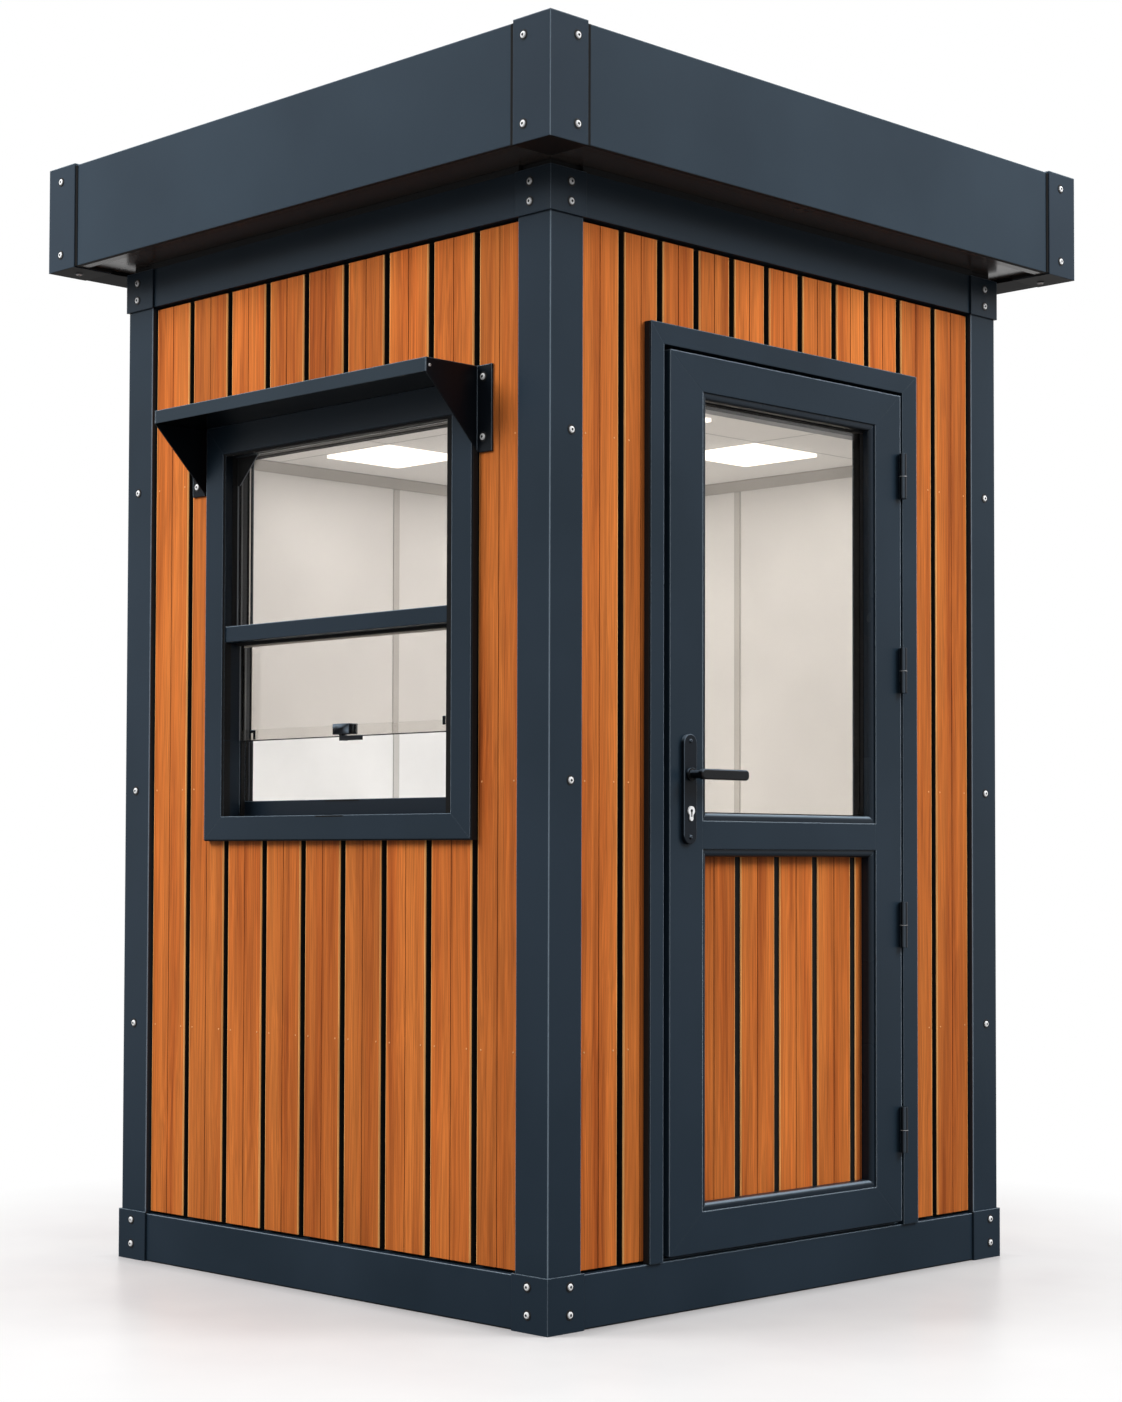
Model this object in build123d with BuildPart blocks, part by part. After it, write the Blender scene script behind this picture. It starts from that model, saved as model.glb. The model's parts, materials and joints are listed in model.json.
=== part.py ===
"""A security guard booth: a steel corner-post frame clad with boards, a glazed door and a serving window.

Millimetres, +Z up. The origin is on the ground under the middle of the roof.
The serving window is in the front wall, which faces -Y, and the door is in the right wall, which faces +X.
"""

import os

from build123d import *

os.makedirs("parts", exist_ok=True)

# Steel frame
width = 1522.0
depth = 1596.0
frame_top = 2480.0
post_size = 100.0
post_bend = 3.0
ground_gap = 3.0
base_height = 114.0
header_height = 98.0
edge_round = 1.5

# Corner brackets
bracket_leg = 105.0
bracket_sheet = 5.0
base_bracket_rise = 4.0
top_bracket_drop = 2.0
top_bracket_gap = 2.0

# Walls, floor and ceiling
board_recess = 12.0
board_thickness = 20.0
lining_thickness = 5.0
lining_joint = 0.3
floor_thickness = 60.0
ceiling_drop = 111.0
ceiling_thickness = 40.0
trim_size = 26.0
trim_sheet = 3.0
strip_width = 20.0
left_strip_y = 15.0
back_strip_x = -20.0
light_size = 240.0
light_thickness = 8.0
light_shares = ((-0.65, -0.51), (0.66, 0.61), (0.98, -0.46), (-0.65, 0.61))

# Roof
overhang = 146.0
cover_clearance = 2.0
cover_width = 112.0
cover_sheet = 4.0
cover_floor = 3.0
cover_lid = 5.0
fascia_height = 255.0
fascia_sheet = 4.0
fascia_lip = 36.0
seat_height = 12.0
seat_setback = 10.0
seat_width = 70.0
soffit_sheet = 4.0
deck_drop = 40.0
deck_thickness = 60.0
deck_rib_height = 18.0
deck_rib_base = 44.0
deck_rib_crest = 24.0
deck_rib_count = 7

# Serving window
window_left_margin = 301.0
window_right_margin = 201.0
window_sill_rise = 982.0
window_head_drop = 405.0
window_casing_left = 66.0
window_casing_right = 63.0
window_casing_low = 56.0
window_casing_high = 68.7
casing_proud = 6.0
liner_left_reveal = 6.0
liner_right_reveal = 18.0
liner_head_reveal = 4.0
liner_lap = 20.0
liner_recess = 3.0
liner_back = 87.0
sash_track_front = 46.0
sash_track_depth = 16.0
sash_track_width = 9.0
sill_rail_height = 38.0
sill_rail_front = 62.0
transom_share = 0.4795
transom_height = 38.0
glass_thickness = 6.0
upper_glass_depth = 38.0
sash_share = 0.2107
sash_top_drop = 8.0
latch_offset = -11.0
latch_width = 60.0
latch_height = 28.0
latch_rise = 3.0
latch_depth = 12.0
latch_lever_start = 13.0
latch_lever_length = 78.0
latch_lever_height = 10.0
latch_lever_drop = 11.0

# Awning over the window
awning_left_gap = 26.0
awning_right_gap = 4.0
awning_rise = 31.3
awning_setback = 3.0
awning_lip = 31.0
awning_sheet_thickness = 3.0
flange_length = 191.0
flange_width = 46.0
flange_thickness = 5.0

# Door opening, casing and frame
door_left_margin = 258.0
door_right_margin = 292.0
door_head_drop = 241.0
door_casing_lock = 51.0
door_casing_hinge = 58.0
door_casing_high = 47.0
door_reveal_lock = 9.0
door_reveal_hinge = 2.0
jamb_thickness = 30.0
stop_cover = 20.0
threshold_height = 4.0
threshold_stop_height = 17.0

# Door leaf
leaf_gap = 9.0
leaf_floor_gap = 6.0
leaf_proud = 2.0
leaf_thickness = 70.0
stop_clearance = 5.0
lock_stile = 109.0
hinge_stile = 98.0
top_rail = 82.0
bottom_rail = 90.0
mid_rail_rise = 895.0
mid_rail_height = 64.0
bead_face = 17.0
bead_recess = 4.0
bead_depth = 28.0
mitre_gap = 0.2
seat_gap = 0.3

# Hinges
hinge_shares = (0.11, 0.3566, 0.6643, 0.9012)
hinge_length = 110.0
hinge_radius = 9.0
hinge_inset = 4.0
hinge_clearance = 1.5
hinge_pin_radius = 4.0
pin_clearance = 0.1
hinge_pin_length = 40.0
hinge_flap_thickness = 3.0
hinge_flap_width = 40.0
hinge_web = 5.0
hinge_washer = 2.0
hinge_washer_rim = 0.6

# Lock furniture
lock_inset = 57.5
plate_rise = 69.0
plate_length = 245.0
plate_width = 42.0
plate_thickness = 10.0
plate_edge = 2.0
lever_rise = 33.0
lever_length = 148.5
lever_heel = 9.5
lever_height = 24.0
lever_grip_depth = 15.0
lever_end_round = 10.0
lever_edge = 4.0
lever_standoff = 44.0
lever_neck_radius = 9.5
lever_boss_radius = 15.0
lever_boss_depth = 5.0
spindle_radius = 5.0
cylinder_drop = 81.0
cylinder_radius = 10.5
cylinder_height = 33.0
cylinder_stem = 11.0
cylinder_proud = 3.0

# Sizes that follow from the ones above
half_width = width / 2
half_depth = depth / 2
inner_x = half_width - post_size
inner_y = half_depth - post_size
base_top = ground_gap + base_height
header_bottom = frame_top - header_height
core_front = board_recess + board_thickness
room_x = inner_x - lining_thickness
room_y = inner_y - lining_thickness
rail_ends = {"front": inner_x, "right": inner_y, "back": inner_x, "left": inner_y}
walls = ("front", "right", "back", "left")

roof_x = half_width + overhang
roof_y = half_depth + overhang
fascia_x = roof_x - cover_sheet
fascia_y = roof_y - cover_sheet
soffit_x = fascia_x - fascia_sheet
soffit_y = fascia_y - fascia_sheet
cover_bottom = frame_top + cover_clearance
fascia_bottom = cover_bottom + cover_floor
fascia_top = fascia_bottom + fascia_height
cover_top = fascia_top + cover_lid
soffit_bottom = frame_top + seat_height
deck_top = fascia_top - deck_drop

window_left = window_left_margin - inner_x
window_right = inner_x - window_right_margin
window_low = base_top + window_sill_rise
window_high = header_bottom - window_head_drop
liner_left = window_left - liner_lap
liner_right = window_right + liner_lap
liner_low = window_low - liner_lap
liner_high = window_high + liner_lap
pane_left = window_left + liner_left_reveal
pane_right = window_right - liner_right_reveal
pane_high = window_high - liner_head_reveal
transom_low = window_low + transom_share * (window_high - window_low)
transom_high = transom_low + transom_height
sash_bottom = window_low + sash_share * (window_high - window_low)
latch_x = (pane_left + pane_right) / 2 + latch_offset

wall_face = -half_depth + board_recess
lip_face = awning_setback - roof_y
awning_left = window_left - window_casing_left - awning_left_gap
awning_right = window_right + window_casing_right + awning_right_gap
awning_top = window_high + window_casing_high + awning_rise
flange_low = awning_top - flange_length

door_left = door_left_margin - inner_y
door_right = inner_y - door_right_margin
door_high = header_bottom - door_head_drop
frame_left = door_left - jamb_thickness
frame_right = door_right + jamb_thickness
frame_high = door_high + jamb_thickness
ceiling_height = door_high - ceiling_drop
threshold_top = base_top + threshold_height

leaf_left = door_left + leaf_gap
leaf_right = door_right - leaf_gap
leaf_bottom = threshold_top + leaf_floor_gap
leaf_top = door_high - leaf_gap
leaf_front = -casing_proud - leaf_proud
leaf_back = leaf_front + leaf_thickness
stop_front = leaf_back + stop_clearance
mid_rail_low = leaf_bottom + mid_rail_rise
mid_rail_high = mid_rail_low + mid_rail_height
light_left = leaf_left + lock_stile
light_right = leaf_right - hinge_stile
light_top = leaf_top - top_rail
lower_low = leaf_bottom + bottom_rail
glass_front = leaf_front + bead_recess + bead_depth
hinge_y = leaf_right - hinge_inset
hinge_x = half_width - leaf_front + hinge_clearance + hinge_radius
hinge_heights = [leaf_bottom + share * (leaf_top - leaf_bottom) for share in hinge_shares]
lock_y = leaf_left + lock_inset
plate_z = mid_rail_high + plate_rise
lever_z = plate_z + lever_rise
cylinder_z = lever_z - cylinder_drop


def wall_plane(wall, inward):
    """The upright plane of a wall, so far inward of the outer faces of its posts.

    Seen from outside, its x runs to the right, its y runs up and its normal points outward.
    """
    normals = {"front": (0, -1, 0), "right": (1, 0, 0), "back": (0, 1, 0), "left": (-1, 0, 0)}
    normal = Vector(*normals[wall])
    reach = half_depth if wall in ("front", "back") else half_width
    return Plane(origin=normal * (reach - inward), x_dir=Vector(0, 0, 1).cross(normal), z_dir=normal)


def span(left, right, low, high):
    """A rectangle between four edges, drawn in the active sketch."""
    with Locations(((left + right) / 2, (low + high) / 2)):
        Rectangle(right - left, high - low)


def mitred_bars(outer, inner, has_sill=True):
    """The mitred bars of a rectangular frame, drawn in the active sketch, with a hairline at each mitre."""
    left, right, low, high = outer
    in_left, in_right, in_low, in_high = inner
    foot = mitre_gap if has_sill else 0
    for outside, inside in ((left, in_left), (right, in_right)):
        Polygon(
            (outside, low + foot),
            (inside, in_low + foot),
            (inside, in_high - mitre_gap),
            (outside, high - mitre_gap),
            align=None,
        )
    for outside, inside in ((high, in_high), (low, in_low)) if has_sill else ((high, in_high),):
        Polygon(
            (left + mitre_gap, outside),
            (right - mitre_gap, outside),
            (in_right - mitre_gap, inside),
            (in_left + mitre_gap, inside),
            align=None,
        )


def corner_angle(reach_x, reach_y, leg, sheet):
    """An angle section round the outside of each corner of a rectangle, drawn in the active sketch."""
    for turn_x in (-1, 1):
        for turn_y in (-1, 1):
            out_x = turn_x * (reach_x + sheet)
            out_y = turn_y * (reach_y + sheet)
            in_x = turn_x * (reach_x - leg)
            in_y = turn_y * (reach_y - leg)
            span(*sorted((out_x, in_x)), *sorted((out_y, turn_y * reach_y)))
            span(*sorted((out_x, turn_x * reach_x)), *sorted((out_y, in_y)))


# Corner posts: square tubes with bent edges
with BuildPart() as corner_posts:
    with BuildSketch(Plane.XY):
        with GridLocations(width - post_size, depth - post_size, 2, 2):
            RectangleRounded(post_size, post_size, post_bend)
    extrude(amount=frame_top)
corner_posts.part.label = "corner_posts"
export_step(corner_posts.part, "parts/corner_posts.step")

# Base beams between the posts, a little off the ground
with BuildPart() as base_beams:
    for wall in walls:
        with BuildSketch(wall_plane(wall, 0)):
            span(-rail_ends[wall], rail_ends[wall], ground_gap, base_top)
        extrude(amount=-post_size)
    top_edges = base_beams.edges().group_by(Axis.Z)[-1]
    outer_edges = [
        edge for edge in top_edges
        if abs(edge.center().X) > half_width - edge_round or abs(edge.center().Y) > half_depth - edge_round
    ]
    fillet(outer_edges, edge_round)
base_beams.part.label = "base_beams"
export_step(base_beams.part, "parts/base_beams.step")

# Header beams between the post tops
with BuildPart() as header_beams:
    for wall in walls:
        with BuildSketch(wall_plane(wall, 0)):
            span(-rail_ends[wall], rail_ends[wall], header_bottom, frame_top)
        extrude(amount=-post_size)
header_beams.part.label = "header_beams"
export_step(header_beams.part, "parts/header_beams.step")

# Bent plates bolted round the posts where the beams meet them
with BuildPart() as base_corner_brackets:
    with BuildSketch(Plane.XY):
        corner_angle(half_width, half_depth, bracket_leg, bracket_sheet)
    extrude(amount=base_top + base_bracket_rise)
base_corner_brackets.part.label = "base_corner_brackets"
export_step(base_corner_brackets.part, "parts/base_corner_brackets.step")

with BuildPart() as top_corner_brackets:
    with BuildSketch(Plane.XY.offset(header_bottom - top_bracket_drop)):
        corner_angle(half_width, half_depth, bracket_leg, bracket_sheet)
    extrude(amount=header_height + top_bracket_drop - top_bracket_gap)
top_corner_brackets.part.label = "top_corner_brackets"
export_step(top_corner_brackets.part, "parts/top_corner_brackets.step")

# Insulated wall cores, each split round its opening
core_thickness = post_size - core_front

with BuildPart() as front_wall:
    with BuildSketch(wall_plane("front", core_front)):
        span(-inner_x, liner_left - seat_gap, base_top, header_bottom)
        span(liner_right + seat_gap, inner_x, base_top, header_bottom)
        span(liner_left, liner_right, base_top, liner_low)
        span(liner_left, liner_right, liner_high, header_bottom)
    extrude(amount=-core_thickness)
front_wall.part.label = "front_wall"
export_step(front_wall.part, "parts/front_wall.step")

with BuildPart() as right_wall:
    with BuildSketch(wall_plane("right", core_front)):
        span(-inner_y, frame_left - seat_gap, base_top, header_bottom)
        span(frame_right + seat_gap, inner_y, base_top, header_bottom)
        span(frame_left, frame_right, frame_high, header_bottom)
    extrude(amount=-core_thickness)
right_wall.part.label = "right_wall"
export_step(right_wall.part, "parts/right_wall.step")

with BuildPart() as back_wall:
    with BuildSketch(wall_plane("back", core_front)):
        span(-inner_x, inner_x, base_top, header_bottom)
    extrude(amount=-core_thickness)
back_wall.part.label = "back_wall"
export_step(back_wall.part, "parts/back_wall.step")

with BuildPart() as left_wall:
    with BuildSketch(wall_plane("left", core_front)):
        span(-inner_y, inner_y, base_top, header_bottom)
    extrude(amount=-core_thickness)
left_wall.part.label = "left_wall"
export_step(left_wall.part, "parts/left_wall.step")

# Board cladding on the wall cores, set back between the posts
with BuildPart() as front_cladding:
    with BuildSketch(wall_plane("front", board_recess)):
        span(-inner_x, inner_x, base_top, header_bottom)
        with Locations(((liner_left + liner_right) / 2, (liner_low + liner_high) / 2)):
            Rectangle(liner_right - liner_left, liner_high - liner_low, mode=Mode.SUBTRACT)
    extrude(amount=-board_thickness)
front_cladding.part.label = "front_cladding"
export_step(front_cladding.part, "parts/front_cladding.step")

with BuildPart() as right_cladding:
    with BuildSketch(wall_plane("right", board_recess)):
        span(-inner_y, inner_y, base_top, header_bottom)
        with Locations(((frame_left + frame_right) / 2, (base_top + frame_high) / 2)):
            Rectangle(frame_right - frame_left, frame_high - base_top, mode=Mode.SUBTRACT)
    extrude(amount=-board_thickness)
right_cladding.part.label = "right_cladding"
export_step(right_cladding.part, "parts/right_cladding.step")

with BuildPart() as back_cladding:
    with BuildSketch(wall_plane("back", board_recess)):
        span(-inner_x, inner_x, base_top, header_bottom)
    extrude(amount=-board_thickness)
back_cladding.part.label = "back_cladding"
export_step(back_cladding.part, "parts/back_cladding.step")

with BuildPart() as left_cladding:
    with BuildSketch(wall_plane("left", board_recess)):
        span(-inner_y, inner_y, base_top, header_bottom)
    extrude(amount=-board_thickness)
left_cladding.part.label = "left_cladding"
export_step(left_cladding.part, "parts/left_cladding.step")

# Floor panel between the base beams
with BuildPart() as floor_panel:
    with BuildSketch(Plane.XY.offset(base_top)):
        Rectangle(2 * inner_x, 2 * inner_y)
    extrude(amount=-floor_thickness)
floor_panel.part.label = "floor_panel"
export_step(floor_panel.part, "parts/floor_panel.step")

# Inner wall linings from the floor up past the ceiling
lining_top = ceiling_height + ceiling_thickness
with BuildPart() as wall_linings:
    with BuildSketch(wall_plane("front", post_size)):
        span(-room_x + lining_joint, room_x - lining_joint, base_top, lining_top)
        with Locations(((liner_left + liner_right) / 2, (liner_low + liner_high) / 2)):
            Rectangle(liner_right - liner_left, liner_high - liner_low, mode=Mode.SUBTRACT)
    extrude(amount=-lining_thickness)
    with BuildSketch(wall_plane("right", post_size)):
        span(-inner_y, inner_y, base_top, lining_top)
        with Locations(((frame_left + frame_right) / 2, (base_top + frame_high) / 2)):
            Rectangle(frame_right - frame_left, frame_high - base_top, mode=Mode.SUBTRACT)
    extrude(amount=-lining_thickness)
    with BuildSketch(wall_plane("back", post_size)):
        span(-room_x + lining_joint, room_x - lining_joint, base_top, lining_top)
    extrude(amount=-lining_thickness)
    with BuildSketch(wall_plane("left", post_size)):
        span(-inner_y, inner_y, base_top, lining_top)
    extrude(amount=-lining_thickness)
wall_linings.part.label = "wall_linings"
export_step(wall_linings.part, "parts/wall_linings.step")

# Ceiling panel between the linings, with flat square lights under it
with BuildPart() as ceiling_panel:
    with BuildSketch(Plane.XY.offset(ceiling_height)):
        Rectangle(2 * room_x, 2 * room_y)
    extrude(amount=ceiling_thickness)
ceiling_panel.part.label = "ceiling_panel"
export_step(ceiling_panel.part, "parts/ceiling_panel.step")

with BuildPart() as ceiling_lights:
    with BuildSketch(Plane.XY.offset(ceiling_height)):
        light_travel_x = room_x - trim_size - light_size / 2
        light_travel_y = room_y - trim_size - light_size / 2
        for share_x, share_y in light_shares:
            with Locations((share_x * light_travel_x, share_y * light_travel_y)):
                Rectangle(light_size, light_size)
    extrude(amount=-light_thickness)
ceiling_lights.part.label = "ceiling_lights"
export_step(ceiling_lights.part, "parts/ceiling_lights.step")

# Angle trims in the room's four upright corners, and flat strips over the lining joints
with BuildPart() as corner_trims:
    with BuildSketch(Plane.XY.offset(base_top)):
        for turn_x in (-1, 1):
            for turn_y in (-1, 1):
                Polygon(
                    (turn_x * room_x, turn_y * room_y),
                    (turn_x * (room_x - trim_size), turn_y * room_y),
                    (turn_x * (room_x - trim_size), turn_y * (room_y - trim_sheet)),
                    (turn_x * (room_x - trim_sheet), turn_y * (room_y - trim_size)),
                    (turn_x * room_x, turn_y * (room_y - trim_size)),
                    align=None,
                )
        span(-room_x, trim_sheet - room_x, left_strip_y - strip_width / 2, left_strip_y + strip_width / 2)
        span(back_strip_x - strip_width / 2, back_strip_x + strip_width / 2, room_y - trim_sheet, room_y)
    extrude(amount=ceiling_height - trim_size - seat_gap - base_top)
corner_trims.part.label = "corner_trims"
export_step(corner_trims.part, "parts/corner_trims.step")

# Sloping trims between the linings and the ceiling, broken where the door's head meets the ceiling
with BuildPart() as cornice_trims:
    for wall in walls:
        reach = {"front": room_x, "right": room_y, "back": room_x, "left": room_y}[wall] - trim_size
        runs = [(-reach, frame_left), (frame_right, reach)] if wall == "right" else [(-reach, reach)]
        across = wall_plane(wall, post_size + lining_thickness)
        for run_start, run_end in runs:
            corner = across.origin + across.x_dir * run_start
            with BuildSketch(Plane(origin=corner, x_dir=-across.z_dir, z_dir=across.x_dir)):
                Polygon(
                    (0, ceiling_height),
                    (0, ceiling_height - trim_size),
                    (trim_sheet, ceiling_height - trim_size),
                    (trim_size, ceiling_height - trim_sheet),
                    (trim_size, ceiling_height),
                    align=None,
                )
            extrude(amount=run_end - run_start)
cornice_trims.part.label = "cornice_trims"
export_step(cornice_trims.part, "parts/cornice_trims.step")

# Roof: a set-back seat, a flat soffit, an insulated ribbed deck and a fascia round them
seat_x = half_width - seat_setback
seat_y = half_depth - seat_setback
with BuildPart() as roof_seat:
    with BuildSketch(Plane.XY.offset(frame_top)):
        mitred_bars(
            (-seat_x, seat_x, -seat_y, seat_y),
            (seat_width - seat_x, seat_x - seat_width, seat_width - seat_y, seat_y - seat_width),
        )
    extrude(amount=seat_height)
roof_seat.part.label = "roof_seat"
export_step(roof_seat.part, "parts/roof_seat.step")

with BuildPart() as roof_soffit:
    with BuildSketch(Plane.XY.offset(soffit_bottom)):
        Rectangle(2 * soffit_x, 2 * soffit_y)
    extrude(amount=soffit_sheet)
roof_soffit.part.label = "roof_soffit"
export_step(roof_soffit.part, "parts/roof_soffit.step")

with BuildPart() as roof_deck:
    with BuildSketch(Plane.XY.offset(deck_top - deck_thickness)):
        Rectangle(2 * soffit_x, 2 * soffit_y)
    extrude(amount=deck_thickness)
    rib_reach = soffit_y - fascia_lip
    rib_pitch = 2 * (soffit_x - fascia_lip) / deck_rib_count
    with BuildSketch(Plane.XZ.offset(-rib_reach)):
        for rib in range(deck_rib_count):
            rib_x = (rib - (deck_rib_count - 1) / 2) * rib_pitch
            Polygon(
                (rib_x - deck_rib_base / 2, deck_top),
                (rib_x + deck_rib_base / 2, deck_top),
                (rib_x + deck_rib_crest / 2, deck_top + deck_rib_height),
                (rib_x - deck_rib_crest / 2, deck_top + deck_rib_height),
                align=None,
            )
    extrude(amount=2 * rib_reach)
roof_deck.part.label = "roof_deck"
export_step(roof_deck.part, "parts/roof_deck.step")

# Fascia channels with a lip at the top and the bottom
with BuildPart() as fascia_panels:
    for wall in walls:
        outward = fascia_y if wall in ("front", "back") else fascia_x
        along = fascia_x if wall in ("front", "back") else fascia_y - fascia_lip - seat_gap
        across = wall_plane(wall, 0)
        corner = across.z_dir * outward - across.x_dir * along
        with BuildSketch(Plane(origin=corner, x_dir=-across.z_dir, z_dir=across.x_dir)):
            span(0, fascia_sheet, fascia_bottom, fascia_top)
            span(0, fascia_lip, fascia_bottom, fascia_bottom + fascia_sheet)
            span(0, fascia_lip, fascia_top - fascia_sheet, fascia_top)
        extrude(amount=2 * along)
fascia_panels.part.label = "fascia_panels"
export_step(fascia_panels.part, "parts/fascia_panels.step")

# Caps over the fascia corners: two faces, a top and a bottom plate
with BuildPart() as fascia_corner_covers:
    with BuildSketch(Plane.XY.offset(cover_bottom)):
        with GridLocations(2 * roof_x - cover_width, 2 * roof_y - cover_width, 2, 2):
            RectangleRounded(cover_width, cover_width, edge_round)
    extrude(amount=cover_top - cover_bottom)
    with BuildSketch(Plane.XY.offset(fascia_bottom)):
        with GridLocations(2 * (fascia_x - cover_width), 2 * (fascia_y - cover_width), 2, 2):
            Rectangle(2 * cover_width, 2 * cover_width)
    extrude(amount=fascia_top - fascia_bottom, mode=Mode.SUBTRACT)
fascia_corner_covers.part.label = "fascia_corner_covers"
export_step(fascia_corner_covers.part, "parts/fascia_corner_covers.step")

# Window casing, mitred, on the face of the boards
with BuildPart() as window_casing:
    with BuildSketch(wall_plane("front", -casing_proud)):
        mitred_bars(
            (
                window_left - window_casing_left, window_right + window_casing_right,
                window_low - window_casing_low, window_high + window_casing_high,
            ),
            (window_left, window_right, window_low, window_high),
        )
    extrude(amount=-(casing_proud + board_recess))
window_casing.part.label = "window_casing"
export_step(window_casing.part, "parts/window_casing.step")

# Window frame through the wall, stepped behind the casing, with a track for the sliding glass
with BuildPart() as window_frame:
    with BuildSketch(wall_plane("front", liner_recess - casing_proud)):
        span(window_left, pane_left, window_low, window_high)
        span(pane_right, window_right, window_low, window_high)
        span(pane_left + seat_gap, pane_right - seat_gap, pane_high, window_high)
    extrude(amount=-(liner_back - liner_recess + casing_proud))
    with BuildSketch(wall_plane("front", board_recess)):
        span(liner_left, window_left, liner_low, liner_high)
        span(window_right, liner_right, liner_low, liner_high)
        span(window_left, pane_left, window_high, liner_high)
        span(pane_right, window_right, window_high, liner_high)
        span(window_left, pane_left, liner_low, window_low)
        span(pane_right, window_right, liner_low, window_low)
        span(pane_left + seat_gap, pane_right - seat_gap, window_high, liner_high)
        span(pane_left + seat_gap, pane_right - seat_gap, liner_low, window_low)
    extrude(amount=-(liner_back - board_recess))
    with BuildSketch(wall_plane("front", sill_rail_front)):
        span(pane_left + seat_gap, pane_right - seat_gap, window_low, window_low + sill_rail_height)
    extrude(amount=-(liner_back - sill_rail_front))
    with BuildSketch(wall_plane("front", sash_track_front)):
        span(pane_left - sash_track_width, pane_left, window_low, window_high)
        span(pane_right, pane_right + sash_track_width, window_low, window_high)
    extrude(amount=-sash_track_depth, mode=Mode.SUBTRACT)
window_frame.part.label = "window_frame"
export_step(window_frame.part, "parts/window_frame.step")

# Transom bar between the upper glass and the sliding glass
with BuildPart() as window_transom:
    with BuildSketch(wall_plane("front", 0)):
        span(pane_left, pane_right, transom_low, transom_high)
    extrude(amount=-(upper_glass_depth + glass_thickness))
    fillet(window_transom.faces().sort_by(Axis.Y)[0].edges().filter_by(Axis.X), edge_round)
window_transom.part.label = "window_transom"
export_step(window_transom.part, "parts/window_transom.step")

with BuildPart() as upper_window_glass:
    with BuildSketch(wall_plane("front", upper_glass_depth)):
        span(pane_left, pane_right, transom_high, pane_high)
    extrude(amount=-glass_thickness)
upper_window_glass.part.label = "upper_window_glass"
export_step(upper_window_glass.part, "parts/upper_window_glass.step")

# Sliding glass, standing raised in its track
sash_front = sash_track_front + (sash_track_depth - glass_thickness) / 2
with BuildPart() as sliding_window_glass:
    with BuildSketch(wall_plane("front", sash_front)):
        sash_reach = sash_track_width - seat_gap
        span(pane_left - sash_reach, pane_right + sash_reach, sash_bottom, transom_high - sash_top_drop)
    extrude(amount=-glass_thickness)
sliding_window_glass.part.label = "sliding_window_glass"
export_step(sliding_window_glass.part, "parts/sliding_window_glass.step")

# Latch: two blocks that clamp the sliding glass, joined under its edge, and a lever below
sash_back = sash_front + glass_thickness
with BuildPart() as window_latch:
    latch_side = latch_width / 2
    block_low = sash_bottom + latch_rise
    block_high = sash_bottom + latch_height
    lever_left = latch_x - latch_lever_start
    hub_right = lever_left + latch_lever_height
    lever_high = sash_bottom - seat_gap
    lever_low = lever_high - latch_lever_drop
    for face, side in ((sash_front - seat_gap, 1), (sash_back + seat_gap, -1)):
        with BuildSketch(wall_plane("front", face)):
            span(latch_x - latch_side, latch_x + latch_side, block_low, block_high)
        extrude(amount=side * latch_depth)
    fillet(window_latch.edges(), edge_round)
    with BuildSketch(wall_plane("front", sash_front - latch_depth / 2)):
        span(lever_left, hub_right, lever_low, block_low + latch_rise)
        span(lever_left, lever_left + latch_lever_length, lever_low, lever_high)
    extrude(amount=-latch_depth / 2 + seat_gap)
    with BuildSketch(wall_plane("front", sash_front - latch_depth / 2)):
        span(lever_left, hub_right, lever_low, lever_high)
    extrude(amount=-(latch_depth + glass_thickness))
    with BuildSketch(wall_plane("front", sash_back + seat_gap)):
        span(lever_left, hub_right, lever_low, block_low + latch_rise)
    extrude(amount=-latch_depth / 2)
window_latch.part.label = "window_latch"
export_step(window_latch.part, "parts/window_latch.step")

# Awning: a sheet folded over, down and back to the wall, on two side plates with wall flanges
with BuildPart() as awning_sheet:
    with BuildSketch(wall_plane("right", half_width - awning_right + awning_sheet_thickness)):
        awning_under = awning_top - awning_lip
        span(lip_face, wall_face, awning_top - awning_sheet_thickness, awning_top)
        span(lip_face, lip_face + awning_sheet_thickness, awning_under, awning_top)
        span(lip_face, wall_face, awning_under, awning_under + awning_sheet_thickness)
    extrude(amount=-(awning_right - awning_left - 2 * awning_sheet_thickness))
awning_sheet.part.label = "awning_sheet"
export_step(awning_sheet.part, "parts/awning_sheet.step")

with BuildPart() as awning_brackets:
    for plate_x in (awning_left + awning_sheet_thickness, awning_right):
        with BuildSketch(wall_plane("right", half_width - plate_x)):
            Polygon(
                (lip_face, awning_top - awning_lip), (wall_face, flange_low), (wall_face, awning_top),
                (lip_face, awning_top),
                align=None,
            )
        extrude(amount=-awning_sheet_thickness)
    with BuildSketch(wall_plane("front", board_recess - flange_thickness)):
        span(awning_left - flange_width, awning_left, flange_low, awning_top)
        span(awning_right, awning_right + flange_width, flange_low, awning_top)
    extrude(amount=-flange_thickness)
awning_brackets.part.label = "awning_brackets"
export_step(awning_brackets.part, "parts/awning_brackets.step")

# Door casing, mitred at the top, on the face of the boards and the base beam
with BuildPart() as door_casing:
    with BuildSketch(wall_plane("right", -casing_proud)):
        casing_left = door_left - door_casing_lock
        casing_right = door_right + door_casing_hinge
        mitred_bars(
            (casing_left, casing_right, base_top, door_high + door_casing_high),
            (door_left - door_reveal_lock, door_right + door_reveal_hinge, base_top, door_high),
            has_sill=False,
        )
    extrude(amount=-(casing_proud + board_recess))
door_casing.part.label = "door_casing"
export_step(door_casing.part, "parts/door_casing.step")

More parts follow.
